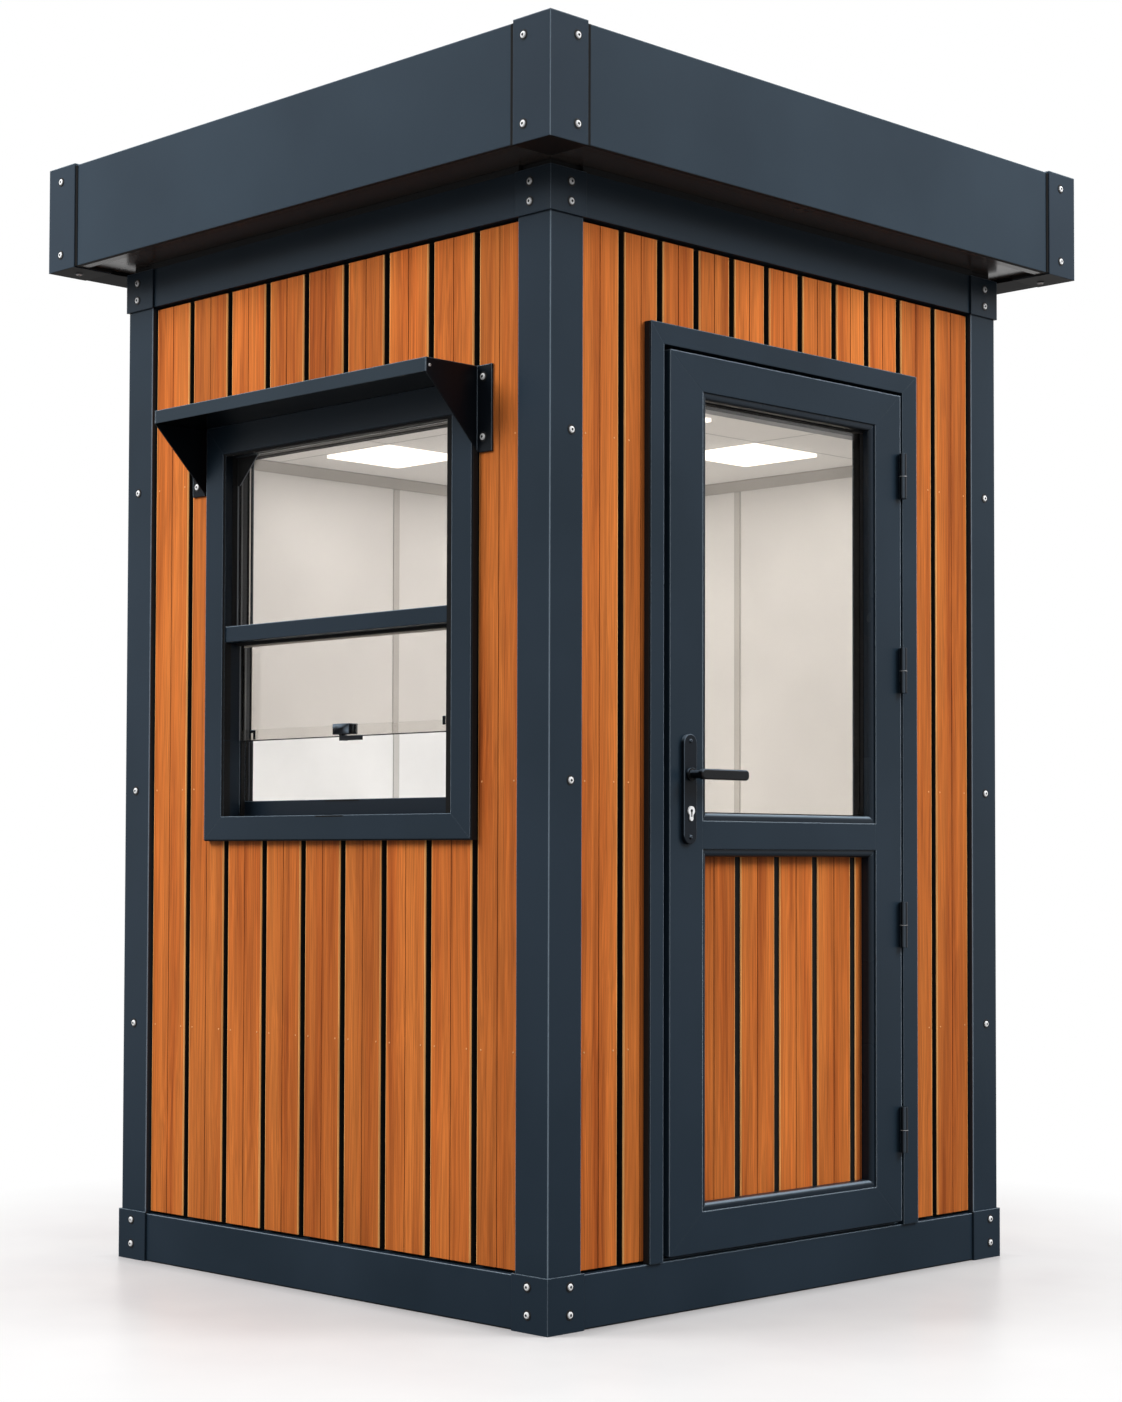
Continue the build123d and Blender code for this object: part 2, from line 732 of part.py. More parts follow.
# Door frame through the wall, and the stops behind the leaf all round
frame_back = post_size + lining_thickness
with BuildPart() as door_frame:
    with BuildSketch(wall_plane("right", board_recess)):
        span(frame_left, door_left, base_top, door_high - seat_gap)
        span(door_right, frame_right, base_top, door_high - seat_gap)
        span(frame_left, frame_right, door_high, frame_high)
        span(door_left + seat_gap, door_right - seat_gap, base_top, threshold_top)
    extrude(amount=-(frame_back - board_recess))
door_frame.part.label = "door_frame"
export_step(door_frame.part, "parts/door_frame.step")

stop_left = door_left + stop_cover
stop_right = door_right - stop_cover
with BuildPart() as door_stops:
    with BuildSketch(wall_plane("right", stop_front)):
        span(door_left, stop_left, threshold_top, door_high)
        span(stop_right, door_right, threshold_top, door_high)
        span(stop_left + seat_gap, stop_right - seat_gap, ceiling_height, door_high)
        sill_high = threshold_top + threshold_stop_height
        span(stop_left + seat_gap, stop_right - seat_gap, threshold_top, sill_high)
    extrude(amount=-(frame_back - stop_front))
door_stops.part.label = "door_stops"
export_step(door_stops.part, "parts/door_stops.step")

# Door leaf: mitred stiles and rails with a middle rail between the stiles
with BuildPart() as door_leaf_frame:
    with BuildSketch(wall_plane("right", leaf_front)):
        mitred_bars(
            (leaf_left, leaf_right, leaf_bottom, leaf_top),
            (light_left, light_right, lower_low, light_top),
        )
        span(light_left + mitre_gap, light_right - mitre_gap, mid_rail_low, mid_rail_high)
    extrude(amount=-leaf_thickness)
    with Locations(Plane(origin=(half_width - leaf_front, lock_y, lever_z), z_dir=(1, 0, 0))):
        Hole(spindle_radius + pin_clearance, depth=leaf_thickness)
door_leaf_frame.part.label = "door_leaf_frame"
export_step(door_leaf_frame.part, "parts/door_leaf_frame.step")

# Beads that hold the glass and the lower panel, in front of and behind them
with BuildPart() as door_beads:
    bead_back = glass_front + glass_thickness
    for low, high in ((mid_rail_high, light_top), (lower_low, mid_rail_low)):
        for front, back in ((leaf_front + bead_recess, glass_front), (bead_back, leaf_back - bead_recess)):
            with BuildSketch(wall_plane("right", front)):
                mitred_bars(
                    (light_left + seat_gap, light_right - seat_gap, low + seat_gap, high - seat_gap),
                    (light_left + bead_face, light_right - bead_face, low + bead_face, high - bead_face),
                )
            extrude(amount=-(back - front - seat_gap))
door_beads.part.label = "door_beads"
export_step(door_beads.part, "parts/door_beads.step")

with BuildPart() as door_glass:
    with BuildSketch(wall_plane("right", glass_front)):
        span(light_left + seat_gap, light_right - seat_gap, mid_rail_high + seat_gap, light_top - seat_gap)
    extrude(amount=-glass_thickness + seat_gap)
door_glass.part.label = "door_glass"
export_step(door_glass.part, "parts/door_glass.step")

with BuildPart() as door_lower_panel:
    with BuildSketch(wall_plane("right", glass_front)):
        span(light_left + seat_gap, light_right - seat_gap, lower_low + seat_gap, mid_rail_low - seat_gap)
    extrude(amount=-glass_thickness + seat_gap)
door_lower_panel.part.label = "door_lower_panel"
export_step(door_lower_panel.part, "parts/door_lower_panel.step")

# Hinges: the lower knuckle, pin and washer stand on the frame, the upper knuckle is on the leaf
flap_back = hinge_x - hinge_flap_width
with BuildPart() as hinge_frame_halves:
    for height in hinge_heights:
        with BuildSketch(Plane.XY.offset(height - hinge_length / 2)):
            with Locations((hinge_x, hinge_y)):
                Circle(hinge_radius)
            span(hinge_x - hinge_web, hinge_x, hinge_y, door_right)
            span(flap_back, hinge_x, door_right - hinge_flap_thickness, door_right)
        extrude(amount=hinge_length / 2 - hinge_washer)
        with BuildSketch(Plane.XY.offset(height - hinge_washer)):
            with Locations((hinge_x, hinge_y)):
                Circle(hinge_radius + hinge_washer_rim)
        extrude(amount=hinge_washer)
        with BuildSketch(Plane.XY.offset(height)):
            with Locations((hinge_x, hinge_y)):
                Circle(hinge_pin_radius)
        extrude(amount=hinge_pin_length)
hinge_frame_halves.part.label = "hinge_frame_halves"
export_step(hinge_frame_halves.part, "parts/hinge_frame_halves.step")

with BuildPart() as hinge_leaf_halves:
    for height in hinge_heights:
        with BuildSketch(Plane.XY.offset(height + seat_gap)):
            with Locations((hinge_x, hinge_y)):
                Circle(hinge_radius)
            span(flap_back, hinge_x, leaf_right, leaf_right + hinge_flap_thickness)
        extrude(amount=hinge_length / 2 - seat_gap)
        with BuildSketch(Plane.XY.offset(height + seat_gap)):
            with Locations((hinge_x, hinge_y)):
                Circle(hinge_pin_radius + pin_clearance)
        extrude(amount=hinge_pin_length, mode=Mode.SUBTRACT)
hinge_leaf_halves.part.label = "hinge_leaf_halves"
export_step(hinge_leaf_halves.part, "parts/hinge_leaf_halves.step")

# Long lock plates outside and inside, with the spindle hole
with BuildPart() as lock_plates:
    for plane, side in ((wall_plane("right", leaf_front), 1), (wall_plane("right", leaf_back), -1)):
        with BuildSketch(plane):
            with Locations((lock_y, plate_z)):
                SlotOverall(plate_length, plate_width, rotation=90)
        extrude(amount=side * plate_thickness)
    for face in (lock_plates.faces().sort_by(Axis.X)[0], lock_plates.faces().sort_by(Axis.X)[-1]):
        fillet(face.edges(), plate_edge)
    with BuildSketch(wall_plane("right", leaf_front - plate_thickness)):
        with Locations((lock_y, lever_z)):
            Circle(spindle_radius + pin_clearance)
    extrude(amount=-(leaf_thickness + 2 * plate_thickness), mode=Mode.SUBTRACT)
lock_plates.part.label = "lock_plates"
export_step(lock_plates.part, "parts/lock_plates.step")

# Keyed cylinder ends on the lock plates
with BuildPart() as lock_cylinder:
    stem_side = cylinder_stem / 2
    stem_end = cylinder_z + cylinder_radius - cylinder_height + stem_side
    for inward, side in ((leaf_front - plate_thickness, 1), (leaf_back + plate_thickness, -1)):
        with BuildSketch(wall_plane("right", inward)):
            with Locations((lock_y, cylinder_z)):
                Circle(cylinder_radius)
            span(lock_y - stem_side, lock_y + stem_side, stem_end, cylinder_z)
            with Locations((lock_y, stem_end)):
                Circle(stem_side)
        extrude(amount=side * cylinder_proud)
lock_cylinder.part.label = "lock_cylinder"
export_step(lock_cylinder.part, "parts/lock_cylinder.step")

# Levers outside and inside on one spindle: rounded grips, necks and bosses
outer_start = half_width - leaf_front + plate_thickness + seat_gap
inner_start = half_width - leaf_back - plate_thickness - seat_gap
with BuildPart() as door_levers:
    for start, side in ((outer_start, 1), (inner_start, -1)):
        grip_back = start + side * (lever_standoff - lever_grip_depth)
        with BuildSketch(Plane(origin=(grip_back, lock_y, lever_z), x_dir=(0, 1, 0), z_dir=(side, 0, 0))):
            with Locations(((lever_length - lever_heel) / 2, 0)):
                RectangleRounded(lever_length + lever_heel, lever_height, lever_end_round)
        extrude(amount=lever_grip_depth)
    fillet(door_levers.edges().filter_by(Axis.X, reverse=True), lever_edge)
    for start, side in ((outer_start, 1), (inner_start, -1)):
        with BuildSketch(Plane(origin=(start, lock_y, lever_z), x_dir=(0, 1, 0), z_dir=(side, 0, 0))):
            Circle(lever_neck_radius)
        extrude(amount=lever_standoff - lever_grip_depth / 2)
        with BuildSketch(Plane(origin=(start, lock_y, lever_z), x_dir=(0, 1, 0), z_dir=(side, 0, 0))):
            Circle(lever_boss_radius)
        extrude(amount=lever_boss_depth)
    with BuildSketch(Plane(origin=(inner_start, lock_y, lever_z), x_dir=(0, 1, 0), z_dir=(1, 0, 0))):
        Circle(spindle_radius)
    extrude(amount=outer_start - inner_start)
door_levers.part.label = "door_levers"
export_step(door_levers.part, "parts/door_levers.step")
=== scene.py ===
"""A security guard booth: steel frame, upright boards, serving window, half-glazed door and flat roof."""
import json
import math

import bmesh
import bpy
from mathutils import Matrix, Vector

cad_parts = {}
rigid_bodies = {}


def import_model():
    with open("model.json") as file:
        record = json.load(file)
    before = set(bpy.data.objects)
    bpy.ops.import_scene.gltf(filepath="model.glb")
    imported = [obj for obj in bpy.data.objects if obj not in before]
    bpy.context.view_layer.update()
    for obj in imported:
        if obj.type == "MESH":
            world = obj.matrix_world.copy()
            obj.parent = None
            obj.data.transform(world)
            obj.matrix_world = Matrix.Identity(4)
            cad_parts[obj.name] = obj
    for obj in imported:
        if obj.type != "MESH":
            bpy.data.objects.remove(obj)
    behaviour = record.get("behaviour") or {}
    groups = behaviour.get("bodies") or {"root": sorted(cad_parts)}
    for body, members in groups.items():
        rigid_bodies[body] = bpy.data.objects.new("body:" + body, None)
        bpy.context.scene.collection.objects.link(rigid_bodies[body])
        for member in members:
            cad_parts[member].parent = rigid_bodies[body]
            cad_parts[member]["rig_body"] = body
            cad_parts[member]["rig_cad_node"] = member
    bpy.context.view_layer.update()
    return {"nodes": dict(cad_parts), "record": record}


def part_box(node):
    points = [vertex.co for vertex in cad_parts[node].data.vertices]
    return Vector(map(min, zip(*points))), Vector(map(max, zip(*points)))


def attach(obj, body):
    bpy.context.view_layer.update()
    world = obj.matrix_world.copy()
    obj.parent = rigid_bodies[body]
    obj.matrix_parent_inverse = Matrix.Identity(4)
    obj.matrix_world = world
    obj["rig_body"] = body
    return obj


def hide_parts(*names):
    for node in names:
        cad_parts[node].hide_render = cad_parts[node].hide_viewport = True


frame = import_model()
bpy.ops.object.select_all(action="DESELECT")

# The steel frame: four square posts, base and header beams, and bent corner brackets.
# Steel, powder coated a dark blue grey; the parts are welded or bolted together.
mm = 0.001


def material(name):
    """A new material: its tree, its Principled shader and its object coordinates."""
    made = bpy.data.materials.new(name)
    made.use_nodes = True
    tree = made.node_tree
    place = tree.nodes.new("ShaderNodeTexCoord")
    return made, tree, tree.nodes["Principled BSDF"], place.outputs["Object"]


def set_inputs(tree, node, inputs):
    """Gives a node's inputs their values or their links."""
    for name, value in inputs.items():
        if isinstance(value, bpy.types.NodeSocket):
            tree.links.new(value, node.inputs[name])
        else:
            node.inputs[name].default_value = value


def add(tree, kind, inputs=None, **settings):
    """A node of the kind, with its settings and its inputs."""
    node = tree.nodes.new(kind)
    for name, value in settings.items():
        setattr(node, name, value)
    set_inputs(tree, node, inputs or {})
    return node


def shade(red, green, blue):
    """A colour given as it looks on a screen, 0 to 255, as the shader wants it."""
    parts = []
    for value in (red, green, blue):
        part = value / 255
        parts.append(part / 12.92 if part <= 0.04045 else ((part + 0.055) / 1.055) ** 2.4)
    return (*parts, 1.0)


def blend_colours(tree, share, first, second):
    """A colour between two others, by a share from 0 to 1."""
    return add(tree, "ShaderNodeMix", {"Factor": share, 6: first, 7: second}, data_type="RGBA").outputs[2]


def ranged(tree, value, low, high, new_low=0.0, new_high=1.0):
    """A value moved from one range to another, and kept inside it."""
    inputs = {"Value": value, "From Min": low, "From Max": high, "To Min": new_low, "To Max": new_high}
    return add(tree, "ShaderNodeMapRange", inputs).outputs["Result"]


def maths(tree, operation, first, second, **settings):
    """One sum on two values."""
    return add(tree, "ShaderNodeMath", {0: first, 1: second}, operation=operation, **settings).outputs[0]


def vector_maths(tree, operation, *inputs, result="Vector"):
    """One sum on vectors."""
    return add(tree, "ShaderNodeVectorMath", dict(enumerate(inputs)), operation=operation).outputs[result]


def parted(tree, vector):
    """The X, Y and Z of a vector."""
    return add(tree, "ShaderNodeSeparateXYZ", {"Vector": vector}).outputs


def noise(tree, place, scale, detail, stretch=None, roughness=0.5):
    """Noise, its space stretched first where that is asked for."""
    if stretch:
        place = add(tree, "ShaderNodeMapping", {"Vector": place, "Scale": stretch}).outputs["Vector"]
    inputs = {"Vector": place, "Scale": scale, "Detail": detail, "Roughness": roughness}
    return add(tree, "ShaderNodeTexNoise", inputs).outputs


def set_finish(tree, shader, colour, rough, gloss=0.5):
    """Gives the shader its colour, its roughness and the strength of its shine."""
    set_inputs(tree, shader, {"Base Color": colour, "Roughness": rough, "Specular IOR Level": gloss})


def bump(tree, shader, height, strength, depth, **inputs):
    """Lets the height stand out of the surface."""
    inputs.update({"Height": height, "Strength": strength, "Distance": depth})
    node = add(tree, "ShaderNodeBump", inputs)
    tree.links.new(node.outputs["Normal"], shader.inputs["Normal"])


# The paler colour painted on upward rounded edges as a highlight.
painted_highlight_rim = (140, 156, 170)
deep_blue_grey = (29, 42, 53)
pale_blue_grey = (35, 48, 60)


def powder_coat(name, deep, pale, rim=painted_highlight_rim, roughness=0.33, gloss=0.16, rounding=3.0 * mm, under=None,
                under_rough=0.14, under_from=-0.8, rim_from=-0.35, bend_only=False):
    """Baked powder coat: slight clouds, a fine orange peel, a paler painted highlight on rounded edges that
    face up, and, where asked, painted shade on faces turned down.
    """
    made, tree, shader, place = material(name)
    clouds = noise(tree, place, 2.2, 3.0)["Fac"]
    coat = blend_colours(tree, ranged(tree, clouds, 0.35, 0.65), shade(*deep), shade(*pale))
    rounded = add(tree, "ShaderNodeBevel", {"Radius": rounding}, samples=4).outputs["Normal"]
    sizes = parted(tree, vector_maths(tree, "ABSOLUTE", rounded))
    largest = maths(tree, "MAXIMUM", maths(tree, "MAXIMUM", sizes["X"], sizes["Y"]), sizes["Z"])
    # Painted highlight: where the rounded normal leans off the flat and faces up, the coat turns to the rim
    # colour.
    edge = ranged(tree, largest, 0.992, 0.84, 0.0, 0.95)
    upward = parted(tree, rounded)["Z"]
    lit = ranged(tree, upward, rim_from, rim_from + 0.25)
    # With bend_only, the painted highlight keeps to outer bends and upward edges.
    if bend_only:
        outward = parted(tree, vector_maths(tree, "MULTIPLY", place, rounded))
        bend = ranged(tree, maths(tree, "MINIMUM", outward["X"], outward["Y"]), 0.0, 0.05)
        lit = maths(tree, "MULTIPLY", lit, maths(tree, "MAXIMUM", bend, ranged(tree, upward, 0.1, 0.3)))
    coat = blend_colours(tree, maths(tree, "MULTIPLY", edge, lit), coat, shade(*rim))
    rough = ranged(tree, clouds, 0.3, 0.7, roughness - 0.04, roughness + 0.05)
    # Painted shade: faces turned down take the under colour, the look of their unlit undersides, and the
    # under roughness.
    if under:
        up = parted(tree, add(tree, "ShaderNodeNewGeometry").outputs["Normal"])["Z"]
        coat = blend_colours(tree, ranged(tree, up, under_from, -0.95), coat, shade(*under))
        smoother = ranged(tree, up, under_from, -0.95, 0.0, under_rough - roughness)
        rough = maths(tree, "ADD", rough, smoother)
    set_finish(tree, shader, coat, rough, gloss)
    bump(tree, shader, noise(tree, place, 700.0, 2.0)["Fac"], 0.10, 0.4 * mm, Normal=rounded)
    return made


def recoat(piece, made):
    """Gives the piece this material and no other."""
    piece.data.materials.clear()
    piece.data.materials.append(made)


def dress(made, *names):
    """Gives the material to the booth's nodes of these names."""
    for name in names:
        recoat(frame["nodes"][name], made)


# Both carry the painted edge highlight; on the brackets it keeps to their outer bends.
frame_paint = powder_coat("frame_paint", deep_blue_grey, pale_blue_grey)
bracket_plate_paint = powder_coat("bracket_plate_paint", deep_blue_grey, pale_blue_grey, bend_only=True)
dress(frame_paint, "corner_posts", "base_beams", "header_beams")
dress(bracket_plate_paint, "base_corner_brackets", "top_corner_brackets")
post_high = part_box("corner_posts")[1]
half_width = post_high.x
half_depth = post_high.y

# The frame's bolts: button heads with a hexagon socket on a black washer.
# Bright zinced steel; two hold each bracket leg and two or three hold each post to the walls.
wall_turns = {"front": 0, "right": 90, "back": 180, "left": -90}


def along(wall, width, depth):
    """The one of the booth's two sizes that runs along the wall."""
    return width if wall in ("front", "back") else depth


def wall_place(wall):
    """From a wall's own measures (across, depth into the wall, height) to the booth's."""
    turn = Matrix.Rotation(math.radians(wall_turns[wall]), 4, "Z")
    return turn @ Matrix.Translation((0, -along(wall, half_depth, half_width), 0))


def satin_black(name, tone, roughness):
    """Moulded or coated, satin, usually black, with a fine texture."""
    made, tree, shader, place = material(name)
    grain = noise(tree, place, 420.0, 3.0)["Fac"]
    darker = shade(*tone)
    lighter = (*(min(1.0, part * 1.7) for part in darker[:3]), 1.0)
    colour = blend_colours(tree, ranged(tree, grain, 0.35, 0.7), darker, lighter)
    set_finish(tree, shader, colour, ranged(tree, grain, 0.3, 0.7, roughness - 0.05, roughness + 0.06), 0.4)
    bump(tree, shader, grain, 0.12, 0.3 * mm)
    return made


bolt_steel, tree, shader, place = material("bolt_steel")
mottle = noise(tree, place, 260.0, 3.0)["Fac"]
tone = blend_colours(tree, mottle, shade(240, 242, 243), shade(252, 252, 253))
set_finish(tree, shader, tone, ranged(tree, mottle, 0.3, 0.7, 0.30, 0.44))
shader.inputs["Metallic"].default_value = 0.08
washer_black = satin_black("washer_black", (14, 15, 17), 0.5)


def take(piece):
    """Makes the piece the only one selected, and the active one."""
    bpy.ops.object.select_all(action="DESELECT")
    piece.select_set(True)
    bpy.context.view_layer.objects.active = piece


def edit(piece):
    """Opens the piece's mesh for editing."""
    take(piece)
    bpy.ops.object.mode_set(mode="EDIT")


def close(piece):
    """Ends the editing."""
    bpy.ops.object.mode_set(mode="OBJECT")
    piece.select_set(False)


def smooth(piece, degrees):
    """Shades the piece smooth, apart from its sharper edges."""
    take(piece)
    bpy.ops.object.shade_smooth_by_angle(angle=math.radians(degrees))
    piece.select_set(False)


def pick(mode, test):
    """Selects what passes the test in the mesh being edited: its VERT, EDGE or FACE parts."""
    mesh = bpy.context.edit_object.data
    bpy.ops.mesh.select_mode(type=mode)
    bpy.ops.mesh.select_all(action="DESELECT")
    form = bmesh.from_edit_mesh(mesh)
    parts = {"VERT": form.verts, "EDGE": form.edges, "FACE": form.faces}[mode]
    for part in parts:
        if test(part):
            part.select_set(True)
    form.select_flush_mode()
    bmesh.update_edit_mesh(mesh)


def paint(number, test):
    """Picks the faces that pass the test and gives them the piece's material of that number."""
    pick("FACE", test)
    bpy.context.object.active_material_index = number
    bpy.ops.object.material_slot_assign()


def join_as(name, pieces):
    """Several pieces made one, under one name."""
    bpy.ops.object.select_all(action="DESELECT")
    for piece in pieces:
        piece.select_set(True)
    bpy.context.view_layer.objects.active = pieces[0]
    if len(pieces) > 1:
        bpy.ops.object.join()
    whole = bpy.context.view_layer.objects.active
    whole.name = name
    whole.data.name = name
    whole.select_set(False)
    return whole


def copies(name, pattern, places):
    """Copies of the pattern, one at each place, made one piece."""
    made = []
    for place in places:
        copy = pattern.copy()
        copy.data = pattern.data.copy()
        copy.data.transform(place)
        bpy.context.scene.collection.objects.link(copy)
        made.append(copy)
    return join_as(name, made)


def disc(radius, thickness, middle, sides=24):
    """A short cylinder along Y, round a middle depth."""
    bpy.ops.mesh.primitive_cylinder_add(vertices=sides, radius=radius, depth=thickness,
                                        location=(0, middle, 0), rotation=(math.radians(90), 0, 0))
    bpy.ops.object.transform_apply(location=True, rotation=True, scale=True)
    return bpy.context.object


def button_bolt(head_radius, head_height, washer_radius):
    """A button-head bolt that faces -Y, with its washer's back at depth 0."""
    thickness = 0.9 * mm
    collar = 0.45 * head_height
    rise = head_height - collar
    dome = -thickness - collar - 0.99 * rise
    washer = disc(washer_radius, thickness, -thickness / 2)
    washer.data.materials.append(washer_black)
    edit(washer)
    pick("EDGE", lambda edge: all(vert.co.y < -0.9 * thickness for vert in edge.verts))
    bpy.ops.mesh.bevel(offset=0.4 * mm, segments=1, affect="EDGES")
    close(washer)
    head = disc(head_radius, collar, -thickness - collar / 2)
    head.data.materials.append(bolt_steel)
    head.data.materials.append(washer_black)
    edit(head)
    pick("FACE", lambda face: face.normal.y < -0.9)
    for inward, forward in ((0.10, 0.48), (0.16, 0.33), (0.16, 0.15), (0.13, 0.04)):
        bpy.ops.mesh.inset(thickness=inward * head_radius, depth=forward * rise)
    for turn in (15, 30, 45):
        pick("VERT", lambda vert: vert.co.y < dome
             and abs(math.degrees(math.atan2(vert.co.z, vert.co.x)) % 60 - turn) < 5)
        shorter = math.cos(math.radians(30)) / math.cos(math.radians(turn - 30))
        bpy.ops.transform.resize(value=(shorter, 1, shorter), center_override=(0, 0, 0))
    # Painted shade: the socket's floor takes the washer's black before it is sunk.
    paint(1, lambda face: face.normal.y < -0.9 and all(vert.co.y < dome for vert in face.verts))
    bpy.ops.mesh.inset(thickness=0.15 * mm, depth=-0.5 * head_height)
    close(head)
    bolt = join_as("button_bolt", [head, washer])
    smooth(bolt, 35)
    return bolt


frame_bolt = button_bolt(7.4 * mm, 3.0 * mm, 11.4 * mm)


def bolt_places(wall, depth, spots):
    """Where bolts stand on a wall: each spot is millimetres across and up."""
    place = wall_place(wall)
    return [place @ Matrix.Translation((across * mm, depth * mm, height * mm)) for across, height in spots]


bracket_face = -5
post_rows = (1917, 1167, 586)
top_rows = (2450, 2407)
base_rows = (97, 38)
bracket_columns = {
    "front": {"base": (-713, 705), "top": (-720, 702.5)},
    "right": {"base": (-737, 761), "top": (-741, 750)},
    "back": {"base": (-705, 705), "top": (-702.5, 702.5)},
    "left": {"base": (-737, 737), "top": (-741, 741)},
}
post_columns = {
    "front": [(-715, row) for row in post_rows],
    "right": [(-734, row) for row in post_rows[:2]] + [(753, row) for row in post_rows],
    "back": [(side, row) for side in (-715, 715) for row in post_rows],
    "left": [(side, row) for side in (-752, 752) for row in post_rows],
}
for wall, columns in bracket_columns.items():
    spots = [(across, row) for across in columns["base"] for row in base_rows]
    spots += [(across, row) for across in columns["top"] for row in top_rows]
    standing = bolt_places(wall, bracket_face, spots) + bolt_places(wall, 0, post_columns[wall])
    bolts = copies(f"{wall}_frame_bolts", frame_bolt, standing)
    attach(bolts, "booth")

# The base seal: a black rubber strip between each base beam and the ground, a painted shadow for the dark
# line under the beam.
# Extruded rubber, glued under the beam a little behind its face.


def block(low, high):
    """A plain box between two corners, as a cutter or as the start of a piece."""
    low, high = Vector(low), Vector(high)
    bpy.ops.mesh.primitive_cube_add(size=1, location=(low + high) / 2)
    piece = bpy.context.object
    piece.scale = high - low
    bpy.ops.object.transform_apply(location=True, rotation=True, scale=True)
    piece.select_set(False)
    return piece


def mm_block(low, high):
    """The same, with the corners in millimetres."""
    return block([value * mm for value in low], [value * mm for value in high])


def modify(piece, kind, **settings):
    """Applies one modifier to the piece."""
    bpy.context.view_layer.objects.active = piece
    change = piece.modifiers.new("change", kind)
    for name, value in settings.items():
        setattr(change, name, value)
    bpy.ops.object.modifier_apply(modifier=change.name)


def bar(low, high, made, rounding, wall=None):
    """A bar with softened edges; its corners are in millimetres, in the booth's measures or in a wall's."""
    piece = mm_block(low, high)
    modify(piece, "BEVEL", width=rounding * mm, segments=2)
    piece.data.materials.append(made)
    if wall:
        piece.data.transform(wall_place(wall))
    return piece


seal_black = satin_black("seal_black", (7, 7, 8), 0.8)
post_width = 100 * mm
base_seals = []
for wall in wall_turns:
    half_run = (along(wall, half_width, half_depth) - post_width) / mm
    base_seals.append(bar((-half_run, 2, 0.3), (half_run, 30, 3), seal_black, 0.6, wall))
base_seals = join_as("base_seals", base_seals)
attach(base_seals, "booth")

# The floor panel: a flat insulated panel that drops between the base beams.
# Its top wears a grey vinyl sheet with fine flecks, glued down.
floor_vinyl, tree, shader, place = material("floor_vinyl")
flecks = add(tree, "ShaderNodeTexVoronoi", {"Vector": place, "Scale": 330.0}).outputs["Distance"]
tone = blend_colours(tree, ranged(tree, flecks, 0.1, 0.45), shade(96, 94, 90), shade(138, 135, 128))
set_finish(tree, shader, tone, 0.5)
bump(tree, shader, flecks, 0.15, 0.3 * mm)
dress(floor_vinyl, "floor_panel")

# The wall cores: insulated panels between the posts.
# Outside they are wrapped in a black membrane, which shows as the dark line between two boards.
membrane = satin_black("membrane", (7, 7, 8), 0.8)
dress(membrane, "front_wall", "right_wall", "back_wall", "left_wall")

# The cladding: upright boards with bevelled edges and one fine groove, a shadow gap between them.
# Oiled cedar, machined from the solid, nailed to the wall twice at each height; the gaps are black, the
# boards' sides painted black as painted shade, their bevels paler as a painted highlight, their grooves dark
# brown as painted shade.


def cedar(name, dark, middle, light, spread):
    """Oiled cedar with its grain upright; each board has its own grain, and a tone within the spread."""
    made, tree, shader, place = material(name)
    island = add(tree, "ShaderNodeNewGeometry").outputs["Random Per Island"]
    offset = add(tree, "ShaderNodeCombineXYZ", {"X": island, "Y": island, "Z": island}).outputs["Vector"]
    own = vector_maths(tree, "ADD", place, vector_maths(tree, "MULTIPLY", offset, (41.0, 23.0, 67.0)))
    drift = noise(tree, own, 1.0, 2.0, (6.0, 6.0, 1.3))["Color"]
    path = vector_maths(tree, "ADD", own, vector_maths(tree, "MULTIPLY", drift, (0.030, 0.030, 0.0)))
    grain = noise(tree, path, 1.0, 4.0, (70.0, 70.0, 1.1), 0.62)["Fac"]
    fibre = noise(tree, path, 1.0, 3.0, (330.0, 330.0, 5.0))["Fac"]
    band = noise(tree, path, 1.0, 2.0, (19.0, 19.0, 0.8))["Fac"]
    tone = blend_colours(tree, ranged(tree, grain, 0.33, 0.67), shade(*dark), shade(*middle))
    broad = maths(tree, "MULTIPLY", ranged(tree, band, 0.32, 0.68), 0.62)
    tone = blend_colours(tree, broad, tone, shade(*light))
    lines = ranged(tree, fibre, 0.35, 0.65, 0.77, 1.13)
    strength = maths(tree, "MULTIPLY", lines, ranged(tree, island, 0.0, 1.0, 1.0 - spread, 1.0 + spread))
    graded = add(tree, "ShaderNodeVectorMath", {0: tone, "Scale": strength}, operation="SCALE")
    set_finish(tree, shader, graded.outputs["Vector"], ranged(tree, fibre, 0.3, 0.7, 0.46, 0.62), 0.12)
    bump(tree, shader, fibre, 0.22, 0.5 * mm)
    return made


board_cedar = cedar("board_cedar", (148, 72, 30), (202, 106, 46), (230, 136, 64), 0.15)
# A paler cedar painted on the bevels as a highlight.
board_edge_cedar = cedar("board_edge_cedar", (238, 158, 86), (250, 180, 108), (255, 194, 124), 0.05)
gap_black = satin_black("gap_black", (5, 5, 5), 0.85)
# A dark brown painted in the groove as its shade.
groove_brown = cedar("groove_brown", (92, 44, 18), (120, 60, 26), (132, 70, 32), 0.05)
groove = 1.1 * mm
near = 0.05 * mm


